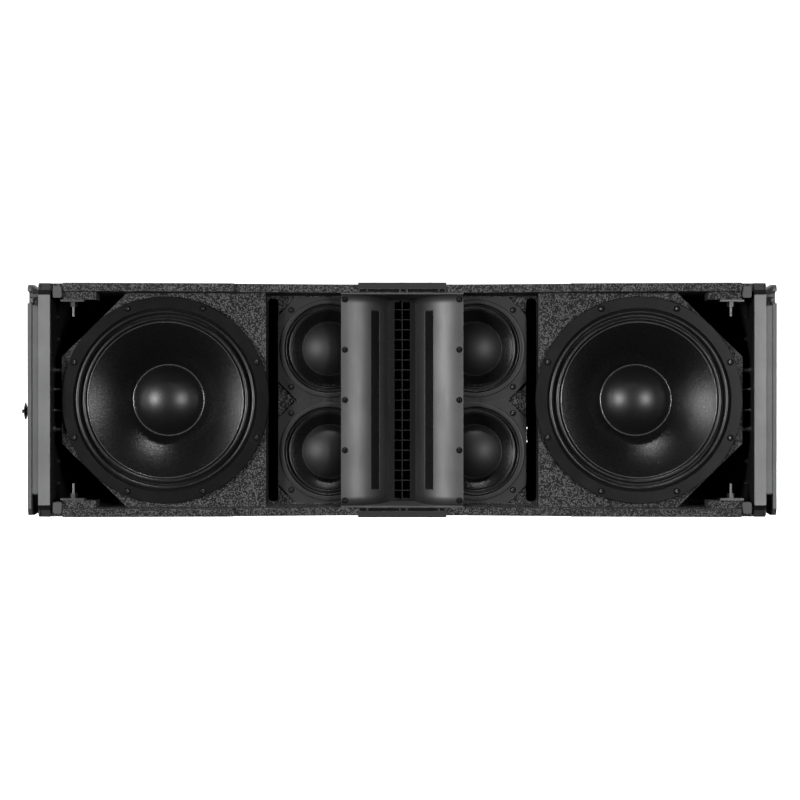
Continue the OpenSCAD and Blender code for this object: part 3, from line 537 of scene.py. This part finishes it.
def add_prism(bm, outline, place, h0, h1, inset=0.0):
    """Adds a prism of an outline between two heights; inset draws in its far end for a soft edge."""
    cx = sum(p[0] for p in outline) / len(outline)
    cz = sum(p[1] for p in outline) / len(outline)

    def shrunk(by):
        out = []
        for x, z in outline:
            far = max(math.hypot(x - cx, z - cz), 1e-6)
            out.append((x - (x - cx) / far * by, z - (z - cz) / far * by))
        return out

    levels = [(h0, 0.0), (h1 - inset, 0.0), (h1 - 0.3 * inset, 0.4 * inset), (h1, inset)] if inset else \
        [(h0, 0.0), (h1, 0.0)]
    rings = [[bm.verts.new(place(x, z, h)) for x, z in shrunk(by)] for h, by in levels]
    count = len(outline)
    for one, two in zip(rings, rings[1:]):
        for k in range(count):
            m = (k + 1) % count
            bm.faces.new([one[k], one[m], two[m], two[k]])
    bm.faces.new(rings[0])
    bm.faces.new(rings[-1])


def node_centre(node):
    """Middle of a CAD node's box."""
    low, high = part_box(node)
    return (low + high) / 2


# ---------------------------------------------------------------- drivers

def arc(cx, cz, r, start, end, steps):
    """Points along an arc, in degrees."""
    out = []
    for k in range(steps + 1):
        a = math.radians(start + (end - start) * k / steps)
        out.append((cx + r * math.cos(a), cz + r * math.sin(a)))
    return out


def cone_height(r, edge_r, edge_h, cap_r, slopes):
    """Height of a curved cone at radius r. Its slope is a quadratic of the way in from edge to cap,
    whose three terms are in slopes."""
    u = (edge_r - r) / (edge_r - cap_r)
    flat, linear, curved = slopes
    return edge_h - (edge_r - cap_r) * (flat * u + linear * u * u / 2 + curved * u ** 3 / 3)


def blend_outwards(piece, cabinet, cone, centre, inner, outer):
    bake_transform(piece, cabinet, cone, start=centre + Vector((outer, 0, 0)), end=centre + Vector((inner, 0, 0)))
    weights = piece.data.attributes["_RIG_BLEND"].data
    for vertex, weight in zip(piece.data.vertices, weights):
        r = math.hypot(vertex.co.x - centre.x, vertex.co.z - centre.z)
        t = min(1.0, max(0.0, (outer - r) / (outer - inner)))
        weight.value = t * t * (3 - 2 * t)


def cone_outline(height, edge_r, neck_r, steps, thick, former):
    """Outline of a cone and the tube behind it that carries the voice coil. former gives the tube's
    wall and the height of its end."""
    radii = [edge_r - (edge_r - neck_r) * k / steps for k in range(steps + 1)]
    front = [(r, height(r)) for r in radii]
    back = [(r, height(r) - thick) for r in reversed(radii)]
    wall, tube_end = former
    tube = [(neck_r - wall, height(neck_r)), (neck_r - wall, tube_end), (neck_r, tube_end)]
    return front + tube + back


def cap_outline(r, base, rise, steps, thick):
    """Outline of a domed dust cap whose middle is rise above its edge, at height base."""
    dome_r = (r ** 2 + rise ** 2) / (2 * rise)
    top = [(0.0, base + rise)]
    for k in range(1, steps + 1):
        at = r * k / steps
        top.append((at, base + rise - dome_r + math.sqrt(dome_r ** 2 - at ** 2)))
    under = [(at * 0.985, h - thick) for at, h in reversed(top[1:])] + [(0.0, base + rise - thick)]
    return top + under


def bead_outline(r, height, thick):
    """Outline of a round bead of glue."""
    return arc(r, height, thick, 0, 330, 11)


def sheet_outline(line, thick):
    """Outline of a sheet of one thickness under a line."""
    return line + [(r, h - thick) for r, h in reversed(line)]


def woofer(side):
    """Cone, dust cap, glue beads of lighter grey as painted highlight, surround and a black ring of painted shade
    at the surround's outer edge, of one woofer, in place of its CAD solids.
    """
    body = "woofer_" + side
    centre = node_centre("woofer_basket_" + side)
    centre.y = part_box("woofer_baffle_" + side)[0].y
    place = facing(centre)
    edge_r, edge_h, cap_r, neck_r = 118.2, 2.6, 54.0, 38.0
    slopes = (0.44, 0.26, 0.36)

    def height(r):
        return cone_height(r, edge_r, edge_h, cap_r, slopes)
    outline = cone_outline(height, edge_r, neck_r, 40, 1.4, (0.8, -118.0))
    cone = lathe("woofer_cone_paper_" + side, outline, place, PAPER, 192)
    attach(cone, body)
    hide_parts("woofer_cone_" + side)

    cap_h = height(cap_r)
    outline = cap_outline(cap_r, cap_h, 30.0, 28, 1.0)
    cap = lathe("woofer_dust_cap_" + side, outline, place, CAP, 160)
    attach(cap, body)
    outline = bead_outline(cap_r + 0.5, cap_h + 0.9, 1.0)
    bead = lathe("woofer_cap_bead_" + side, outline, place, GLUE_HIGHLIGHT, 160, 60)
    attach(bead, body)
    outline = bead_outline(edge_r + 0.1, edge_h + 0.7, 0.75)
    rim = lathe("woofer_edge_bead_" + side, outline, place, GLUE_HIGHLIGHT, 192, 60)
    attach(rim, body)

    roll_r, roll_h = 3.0, 2.4
    outer_roll = arc(134.0, roll_h, roll_r, 8, 172, 12)
    valley = [(130.7, 1.2), (130.4, -1.6), (129.4, -2.6), (128.0, -2.6), (127.0, -1.6), (126.7, 1.2)]
    inner_roll = arc(123.5, roll_h, roll_r, 8, 172, 12)
    land = [(120.3, 0.6), (119.9, -1.0), (119.3, -1.0), (118.9, 0.6), (117.6, 2.5)]
    outline = sheet_outline([(137.6, 2.3)] + outer_roll + valley + inner_roll + land, 1.0)
    surround = lathe("woofer_surround_cloth_" + side, outline, place, CLOTH, 192)
    blend_outwards(surround, "cabinet", body, centre, 0.1205, 0.1370)
    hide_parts("woofer_surround_" + side)
    # Black ring over the basket's seat: painted shade of the groove at the surround's outer edge.
    ring = [(137.2, 2.05), (137.2, 2.7), (139.7, 2.7), (139.7, 2.05)]
    groove_shade_ring = lathe("woofer_groove_painted_shade_" + side, ring, place, FOAM_AND_SHADE, 192, 50)
    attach(groove_shade_ring, "cabinet")


def mid(row, side):
    """Cone, dust cap, bead and surround of one mid."""
    which = "_%s_%s" % (row, side)
    body = "mid" + which
    node = "mid_cone" + which
    centre = node_centre(node)
    centre.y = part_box("mid_baffle")[0].y
    place = facing(centre)
    edge_r, edge_h, cap_r, neck_r = 58.2, 3.4, 41.0, 25.5
    slopes = (0.55, 0.40, 0.0)

    def height(r):
        return cone_height(r, edge_r, edge_h, cap_r, slopes)
    outline = cone_outline(height, edge_r, neck_r, 20, 0.9, (0.6, -69.0))
    cone = lathe("mid_cone_paper" + which, outline, place, PAPER, 128)
    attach(cone, body)
    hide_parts(node)

    cap_h = height(cap_r)
    outline = cap_outline(cap_r, cap_h, 17.5, 24, 0.8)
    cap = lathe("mid_dust_cap" + which, outline, place, MID_CAP, 128)
    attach(cap, body)
    outline = bead_outline(cap_r + 0.4, cap_h + 0.5, 0.6)
    bead = lathe("mid_cap_bead" + which, outline, place, MID_CAP, 128, 60)
    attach(bead, body)

    roll_r, roll_h = 1.1, 2.6
    outer_roll = arc(66.4, roll_h, roll_r, 0, 180, 8)
    groove = [(65.2, 1.0), (65.0, -2.0), (62.2, -2.0), (61.9, 1.0)]
    inner_roll = arc(60.7, roll_h, roll_r, 0, 180, 8)
    lip = [(59.2, 2.4), (57.6, 3.5)]
    outline = sheet_outline([(68.2, 2.2)] + outer_roll + groove + inner_roll + lip, 0.7)
    surround = lathe("mid_surround_cloth" + which, outline, place, CLOTH, 128)
    blend_outwards(surround, "cabinet", body, centre, 0.0592, 0.0675)
    return surround


def mids():
    """The moving pieces of the four mids and the raised rings round them."""
    surrounds = [mid(row, side) for row in ROWS for side in SIDES]
    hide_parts("mid_surrounds")
    baffle_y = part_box("mid_baffle")[0].y
    base, top = 5.4, 8.5
    inner_edge = [(68.45, base), (68.45, 7.4), (68.9, 8.2), (69.8, top)]
    outer_edge = [(74.6, top), (75.5, 8.1), (75.8, 7.2), (75.8, base)]
    for row in ROWS:
        for side in SIDES:
            centre = node_centre("mid_cone_%s_%s" % (row, side))
            centre.y = baffle_y
            piece = lathe("mid_gasket_%s_%s" % (row, side), inner_edge + outer_edge, facing(centre), RING,
                          128, 50)
            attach(piece, "cabinet")


# ---------------------------------------------------------------- horn

def plate_line(node):
    """Height of the lower face of the upper horn plate as a function of y, read from its solid."""
    points = [v.co for v in frame["nodes"][node].data.vertices if v.co.z > 0]
    near = min(p.y for p in points)
    far = max(p.y for p in points)
    close = 1e-5
    z_near = min(p.z for p in points if p.y < near + close)
    z_far = min(p.z for p in points if p.y > far - close)
    return lambda y: z_near + (z_far - z_near) * (y - near) / (far - near)


def join_grid(bm, columns):
    """Faces between neighbouring columns of points."""
    for one, two in zip(columns, columns[1:]):
        for k in range(len(one) - 1):
            bm.faces.new([one[k], two[k], two[k + 1], one[k + 1]])


def flare(side):
    """Convex flare: a smooth sheet from its flat outer edge round to the insert, with a long
    shallow pocket for a foam strip."""
    sign = -1 if side == "left" else 1
    low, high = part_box("horn_flare_" + side)
    outer_x = max(abs(low.x), abs(high.x))
    inner_x = min(abs(low.x), abs(high.x))
    y_front, y_back = low.y, high.y
    width, depth = outer_x - inner_x, y_back - y_front
    ceiling = plate_line("horn_plates")
    sheet_t, hem, air = 0.0024, 0.013, 0.0003
    pocket_x = (0.035, 0.047)
    pocket_z, pocket_deep, wall = 0.137, 0.0011, 0.0006
    arc_steps, half_rows = 72, 12

    def angle_at(x):
        return math.asin(min(1.0, (outer_x - x) / width))

    angles = [math.pi / 2 * k / arc_steps for k in range(arc_steps + 1)]
    for x, step in ((pocket_x[0], -wall), (pocket_x[1], wall)):
        angles += [angle_at(x), angle_at(x + step)]
    angles = sorted(angles)
    in_low, in_high = angle_at(pocket_x[1]), angle_at(pocket_x[0])
    heights = [-1 + k / half_rows for k in range(2 * half_rows + 1)]
    nearly = 1e-6

    def depth_at(angle, z):
        inside = in_low - nearly <= angle <= in_high + nearly and abs(z) <= pocket_z + nearly
        return pocket_deep if inside else 0.0

    def surface(angle, z, deep):
        normal = Vector((-math.sin(angle) * depth, -math.cos(angle) * width, 0)).normalized()
        x = outer_x - width * math.sin(angle) - normal.x * deep
        y = y_back - depth * math.cos(angle) - normal.y * deep
        return Vector((sign * x, y, z))

    bm = bmesh.new()
    columns = []
    for angle in angles:
        y = y_back - depth * math.cos(angle)
        top = ceiling(y) - air
        pocket_ends = [s * (pocket_z + w) for s in (-1, 1) for w in (0.0, wall)]
        rows = sorted([top * h for h in heights] + pocket_ends)
        columns.append([bm.verts.new(surface(angle, z, depth_at(angle, z))) for z in rows])
    join_grid(bm, columns)
    lip = [bm.verts.new(v.co + Vector((0, hem, 0))) for v in columns[0]]
    join_grid(bm, [lip, columns[0]])
    piece = mesh_piece("horn_flare_sheet_" + side, bm, FLARE, 40)
    solid = piece.modifiers.new("sheet", "SOLIDIFY")
    solid.thickness = sheet_t
    solid.offset = -1
    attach(piece, "cabinet")
    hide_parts("horn_flare_" + side)

    strip_t, gap = 0.0009, 0.0006
    gap_angle = 0.006
    across, along = 10, 60
    bm = bmesh.new()
    layers = []
    for deep in (pocket_deep - strip_t, pocket_deep + air):
        grid = []
        for k in range(across + 1):
            angle = in_low + gap_angle + (in_high - in_low - 2 * gap_angle) * k / across
            grid.append([bm.verts.new(surface(angle, (pocket_z - gap) * (-1 + 2 * m / along), deep))
                         for m in range(along + 1)])
        layers.append(grid)
    for grid in layers:
        join_grid(bm, grid)
    face, back = layers
    for k in (0, across):
        join_grid(bm, [face[k], back[k]])
    for m in (0, along):
        join_grid(bm, [[column[m] for column in grid] for grid in layers])
    foam = mesh_piece("flare_foam_" + side, bm, FOAM_AND_SHADE)
    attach(foam, "cabinet")


# ---------------------------------------------------------------- fasteners

def solid_centres(node):
    """Lowest and highest corner of the box round each separate solid in a CAD node."""
    mesh = frame["nodes"][node].data
    same_point = 1e-6
    bm = bmesh.new()
    bm.from_mesh(mesh)
    bmesh.ops.remove_doubles(bm, verts=bm.verts, dist=same_point)
    found, seen = [], set()
    for start in bm.verts:
        if start in seen:
            continue
        group, queue = [], [start]
        seen.add(start)
        while queue:
            v = queue.pop()
            group.append(v.co.copy())
            for e in v.link_edges:
                other = e.other_vert(v)
                if other not in seen:
                    seen.add(other)
                    queue.append(other)
        low = Vector([min(p[k] for p in group) for k in range(3)])
        high = Vector([max(p[k] for p in group) for k in range(3)])
        found.append((low, high))
    bm.free()
    return sorted(found, key=lambda b: tuple(round(c, 4) for c in b[0]))


def front_screws(name, node, radius, height, socket):
    """Screw heads with sockets on the front, in place of a CAD group of screws. Those of the flares,
    near the middle, are black."""
    steel, black, rims = bmesh.new(), bmesh.new(), bmesh.new()
    flare_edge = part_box("horn_flare_right")[1].x
    # Thin black rings round the heads: painted shade of their counterbores.
    inner, outer, top = radius + 0.15, radius + 1.5, 0.25
    shade_ring_outline = [(inner, 0.02), (inner, top), (outer, top), (outer, 0.02)]
    for low, high in solid_centres(node):
        centre = (low + high) / 2
        bm = black if abs(centre.x) < flare_edge else steel
        centre.y = low.y + height * MM
        add_screw_head(bm, facing(centre), radius, height, socket)
        add_lathe(rims, shade_ring_outline, facing(centre), 32)
        if high.y - low.y > 2 * height * MM:
            shank_r, shank_end = radius * 0.5, -(high.y - centre.y) / MM
            shank = [(0, 0), (shank_r, 0), (shank_r, shank_end), (0, shank_end)]
            add_lathe(bm, shank, facing(centre), 24)
    piece = mesh_piece(name, steel, HEADS, 30)
    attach(piece, "cabinet")
    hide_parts(node)
    if black.verts:
        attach(mesh_piece(name + "_black", black, OXIDE, 30), "cabinet")
    else:
        black.free()
    shade_ring_piece = mesh_piece(name + "_painted_shade_rings", rims, FOAM_AND_SHADE, 30)
    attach(shade_ring_piece, "cabinet")


def plate_screws():
    """Pan heads outside the side plates and on the centre plates."""
    bm = bmesh.new()
    head_r, socket, sunk = 5.0, 2.4, 0.001
    # Screws of the side plates lie along X and are longer than this, which is wider than any head
    wider = 0.0115
    plate_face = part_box("side_plate_right")[1].x
    for low, high in solid_centres("plate_screws"):
        centre = (low + high) / 2
        if high.x - low.x > wider:
            side = 1 if centre.x > 0 else -1
            base = Vector((side * plate_face, centre.y, centre.z))
            add_screw_head(bm, sideways(base, side), head_r, 2.5, socket)
        else:
            up = 1 if centre.z > 0 else -1
            base = centre - Vector((0, 0, up * sunk))
            add_screw_head(bm, upward(base, up, -TAPER), head_r, 2.0, socket)
    piece = mesh_piece("plate_screw_heads", bm, OXIDE, 30)
    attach(piece, "cabinet")
    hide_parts("plate_screws")


def slot_shade_strips():
    """Dark strips behind the slots in the fronts of the centre plates: painted shade inside the slots."""
    lip_t, slot_z = 0.0024, 0.16625
    half_w, half_h = 65.0, 2.6
    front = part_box("centre_plates")[0].y + lip_t
    bm = bmesh.new()
    for side in (-1, 1):
        place = facing(Vector((0.0, front, side * slot_z)))
        add_prism(bm, round_rect(-half_w, -half_h, half_w, half_h, 0.3, 2), place, -0.05, 0.5)
    piece = mesh_piece("centre_slot_painted_shade", bm, FOAM_AND_SHADE)
    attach(piece, "cabinet")


# ---------------------------------------------------------------- rear

def socket_insides(sockets):
    """Contacts in the sockets, and a key ring in the power sockets, which lie furthest towards -X."""
    pin = [(0, -16.2), (1.15, -16.2), (1.15, -6.5), (0.7, -5.6), (0, -5.4)]
    key = [(5.4, -15.9), (5.4, -2.0), (7.0, -2.0), (7.0, -15.9)]
    power_beyond = -0.1
    pins, keys = bmesh.new(), bmesh.new()
    for low, high in sockets:
        centre = (low + high) / 2
        centre.y = high.y
        if centre.x < power_beyond:
            add_lathe(keys, key, rearward(centre), 48)
            spots = [(0.0, 0.0), (2.4, -1.4), (-2.4, -1.4)]
        else:
            spots = [(0.0, 3.6), (3.6, -2.0), (-3.6, -2.0)]
        for x, z in spots:
            spot = Vector((centre.x - x * MM, centre.y, centre.z + z * MM))
            add_lathe(pins, pin, rearward(spot), 16)
    piece = mesh_piece("socket_contacts", pins, COPPER)
    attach(piece, "cabinet")
    piece = mesh_piece("socket_keys", keys, PLASTIC)
    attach(piece, "cabinet")


def encoder_mark():
    """Bright pointer on the face of the encoder knob."""
    low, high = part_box("encoder_knob")
    centre = (low + high) / 2
    centre.y = high.y
    bm = bmesh.new()
    add_prism(bm, round_rect(-0.6, 3.0, 0.6, 9.2, 0.5), rearward(centre), 0.0, 0.25)
    mark = mesh_piece("encoder_mark", bm, CHROME)
    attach(mark, "knob")


def panel_screws(panel, sockets):
    """Screws round the edge of the amplifier panel, and two in each socket's flange."""
    low, high = panel
    inset = 0.007
    bm = bmesh.new()
    for x in (low.x + inset, high.x - inset):
        for z in (low.z + inset, 0.0, high.z - inset):
            add_screw_head(bm, rearward(Vector((x, high.y, z))), 3.6, 2.0, 1.5)
    screws = mesh_piece("amp_panel_screws", bm, OXIDE, 30)
    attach(screws, "cabinet")

    screw_x, screw_z = 0.0098, 0.0123
    bm = bmesh.new()
    for low, high in sockets:
        for end in (-1, 1):
            spot = (low + high) / 2 + Vector((end * screw_x, 0, end * screw_z))
            spot.y = high.y
            add_screw_head(bm, rearward(spot), 1.7, 1.0, 0.7, 18)
    screws = mesh_piece("socket_screws", bm, OXIDE, 30)
    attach(screws, "cabinet")


def control_bezels(panel_y):
    """Raised ring round the select button and raised frame round the power rocker."""
    bm = bmesh.new()
    centre = node_centre("select_button")
    centre.y = panel_y
    ring = [(4.3, 0.0), (4.3, 0.9), (4.8, 1.4), (5.8, 1.4), (6.3, 0.8), (6.3, 0.0)]
    add_lathe(bm, ring, rearward(centre), 48)

    low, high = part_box("power_rocker")
    centre = (low + high) / 2
    centre.y = panel_y
    half, tall = (high.x - low.x) / 2 / MM, (high.z - low.z) / 2 / MM
    out_x, in_x = half + 2.5, half - 1.3
    out_z, in_z = tall + 5.0, tall + 2.6
    bars = ((-out_x, in_z, out_x, out_z), (-out_x, -out_z, out_x, -in_z),
            (-out_x, -in_z, -in_x, in_z), (in_x, -in_z, out_x, in_z))
    for bar in bars:
        add_prism(bm, round_rect(*bar, 0.3, 2), rearward(centre), 0.0, 1.2, 0.3)
    bezels = mesh_piece("control_bezels", bm, PLASTIC)
    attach(bezels, "cabinet")


def rear_details():
    """Small parts on the amplifier panel."""
    sockets = solid_centres("sockets")
    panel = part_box("amp_panel")
    socket_insides(sockets)
    encoder_mark()
    panel_screws(panel, sockets)
    control_bezels(panel[1].y)


# ---------------------------------------------------------------- materials of the CAD pieces

# Material of each CAD node, and the width of its rounded edges in millimetres
CAD_LOOKS = {
    "top_board bottom_board rear_board woofer_baffle_left woofer_baffle_right mid_baffle "
    "corner_blocks": (PAINT, 1.2),
    # Side boards and partitions, seen only inside the cavities, take the darker copy of the paint as painted
    # shade.
    "side_board_left side_board_right partitions": (CAVITY_SHADE, 1.2),
    "rig_bracket_left rig_bracket_right": (STEEL, 0.6),
    "channel_spacers": (PLATE, 0.6),
    "front_link_left front_link_right rear_link_left rear_link_right": (LINK, 0.6),
    "side_plate_left side_plate_right": (PLATE, 1.0),
    "centre_plates": (LIP, 0.4),
    "front_pin_left front_pin_right": (OXIDE, 0.3),
    "woofer_basket_left woofer_basket_right woofer_motors mid_motors hf_drivers": (CAST, 0.7),
    "mid_frames": (FRAME, 0.7),
    "horn_plates": (FLARE, 0.3),
    "hf_grid waveguide handle_cups sockets encoder_knob power_rocker": (PLASTIC, 0.4),
    "amp_panel heat_sink": (AMP, 0.5),
    "pin_button_left pin_button_right select_button": (CHROME, 0.4),
    "grille_studs cavity_bolts": (ZINC, 0.3),
    "edge_bumpers": (RUBBER, 1.0),
    "woofer_spiders": (SPIDER, 0.0),
    "circuit_board": (BOARD, 0.3),
    "display_window": (WINDOW, 0.4),
}


def dress_cad():
    """Gives each CAD node its material and softens its sharp edges. The side plates' rounded edges
    get a near-black colour, painted shade where they turn away from the light."""
    sharp = math.radians(40)
    for names, (material, width) in CAD_LOOKS.items():
        for name in names.split():
            node = frame["nodes"][name]
            node.data.materials.clear()
            node.data.materials.append(material)
            if width:
                bevel = node.modifiers.new("edges", "BEVEL")
                bevel.width = width * MM
                bevel.segments = 2
                bevel.limit_method = "ANGLE"
                bevel.angle_limit = sharp
                # Painted shade: the bevel of the side plates takes the near-black second material.
                if name.startswith("side_plate"):
                    node.data.materials.append(PLATE_EDGE_SHADE)
                    bevel.material = 1


# ---------------------------------------------------------------- stage

def area_light(name, place, width, energy, height=None):
    """Rectangular lamp that faces the middle of the cabinet; a square one has no height."""
    data = bpy.data.lights.new(name, "AREA")
    data.shape = "RECTANGLE" if height else "SQUARE"
    data.size = width
    if height:
        data.size_y = height
    data.energy = energy
    light = bpy.data.objects.new(name, data)
    light.location = place
    light.rotation_euler = (-Vector(place)).to_track_quat("-Z", "Y").to_euler()
    bpy.context.scene.collection.objects.link(light)


def lights():
    """Two tall softboxes in front, a strip over the front edge, a broad rim light and two fills."""
    area_light("softbox_left", (-4.2, -4.5, 0.25), 1.25, 314, height=1.7)
    area_light("softbox_right", (3.1, -5.2, 0.25), 0.9, 205, height=1.5)
    area_light("softbox_above", (0.0, -0.61, 1.6), 0.5, 14, height=0.12)
    area_light("rim_behind", (0.0, 2.6, 2.4), 3.0, 80, height=1.0)
    for side in (-1, 1):
        area_light("rear_fill_%d" % side, (2.9 * side, 3.1, 0.9), 1.2, 130)


def backdrop():
    """White floor that curves up into a wall. It lies low enough for the front links to slide out."""
    travel = next(j["range_m"][1] for j in frame["joints"] if j["name"] == "front_link_left_slide")
    floor_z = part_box("front_link_left")[0].z - travel
    half_width, front_y, bend_y, bend_r, wall_top, steps = 9.0, -6.0, 3.2, 2.2, 7.0, 16
    bend = [math.pi / 2 * k / steps for k in range(1, steps + 1)]
    profile = [(front_y, 0.0), (bend_y, 0.0)]
    profile += [(bend_y + bend_r * math.sin(a), bend_r - bend_r * math.cos(a)) for a in bend]
    profile += [(bend_y + bend_r, wall_top)]
    bm = bmesh.new()
    rows = []
    for y, z in profile:
        rows.append([bm.verts.new((x, y, floor_z + z)) for x in (-half_width, half_width)])
    for one, two in zip(rows, rows[1:]):
        bm.faces.new([one[0], one[1], two[1], two[0]])
    mesh = bpy.data.meshes.new("floor")
    bm.to_mesh(mesh)
    bm.free()
    for face in mesh.polygons:
        face.use_smooth = True
    floor = bpy.data.objects.new("floor", mesh)
    floor.visible_glossy = False
    floor.visible_diffuse = False
    bpy.context.scene.collection.objects.link(floor)
    t = Tree("pale_floor")
    t.finish(t.mix(t.noise(3, 2), (0.90, 0.90, 0.90), (0.93, 0.93, 0.93)), 0.9, specular=0.1)
    t.shader.inputs["Emission Color"].default_value = (1, 1, 1, 1)
    t.shader.inputs["Emission Strength"].default_value = 0.90
    mesh.materials.append(t.material)


def surroundings():
    """A world that is white to the camera and gives only a little light to the cabinet."""
    world = bpy.data.worlds.new("studio")
    bpy.context.scene.world = world
    world.use_nodes = True
    nodes, links = world.node_tree.nodes, world.node_tree.links
    dim = nodes["Background"]
    dim.inputs["Color"].default_value = (1, 1, 1, 1)
    dim.inputs["Strength"].default_value = 0.022
    white = nodes.new("ShaderNodeBackground")
    white.inputs["Strength"].default_value = 1.0
    path = nodes.new("ShaderNodeLightPath")
    mix = nodes.new("ShaderNodeMixShader")
    links.new(path.outputs["Is Camera Ray"], mix.inputs["Fac"])
    links.new(dim.outputs[0], mix.inputs[1])
    links.new(white.outputs[0], mix.inputs[2])
    links.new(mix.outputs[0], nodes["World Output"].inputs["Surface"])


def camera():
    """Level view from straight in front, three metres away, as a short telephoto sees it."""
    distance, sensor = 3.0, 36.0
    width_seen, shift = 1.20645, -0.00275
    data = bpy.data.cameras.new("camera")
    data.sensor_width = sensor
    data.lens = sensor * distance / width_seen
    data.shift_x = shift
    view = bpy.data.objects.new("camera", data)
    view.location = (0.0, cad_box[0][1] - distance, 0.0)
    view.rotation_euler = (math.pi / 2, 0, 0)
    bpy.context.scene.collection.objects.link(view)
    bpy.context.scene.camera = view


camera()
dress_cad()
for side_name in SIDES:
    woofer(side_name)
    flare(side_name)
mids()
front_screws("woofer_screw_heads", "woofer_screws", 3.6, 2.4, 1.5)
front_screws("small_screw_heads", "small_screws", 3.2, 2.1, 1.4)
plate_screws()
slot_shade_strips()
rear_details()
backdrop()
surroundings()
lights()
bpy.context.scene.view_settings.view_transform = "Standard"
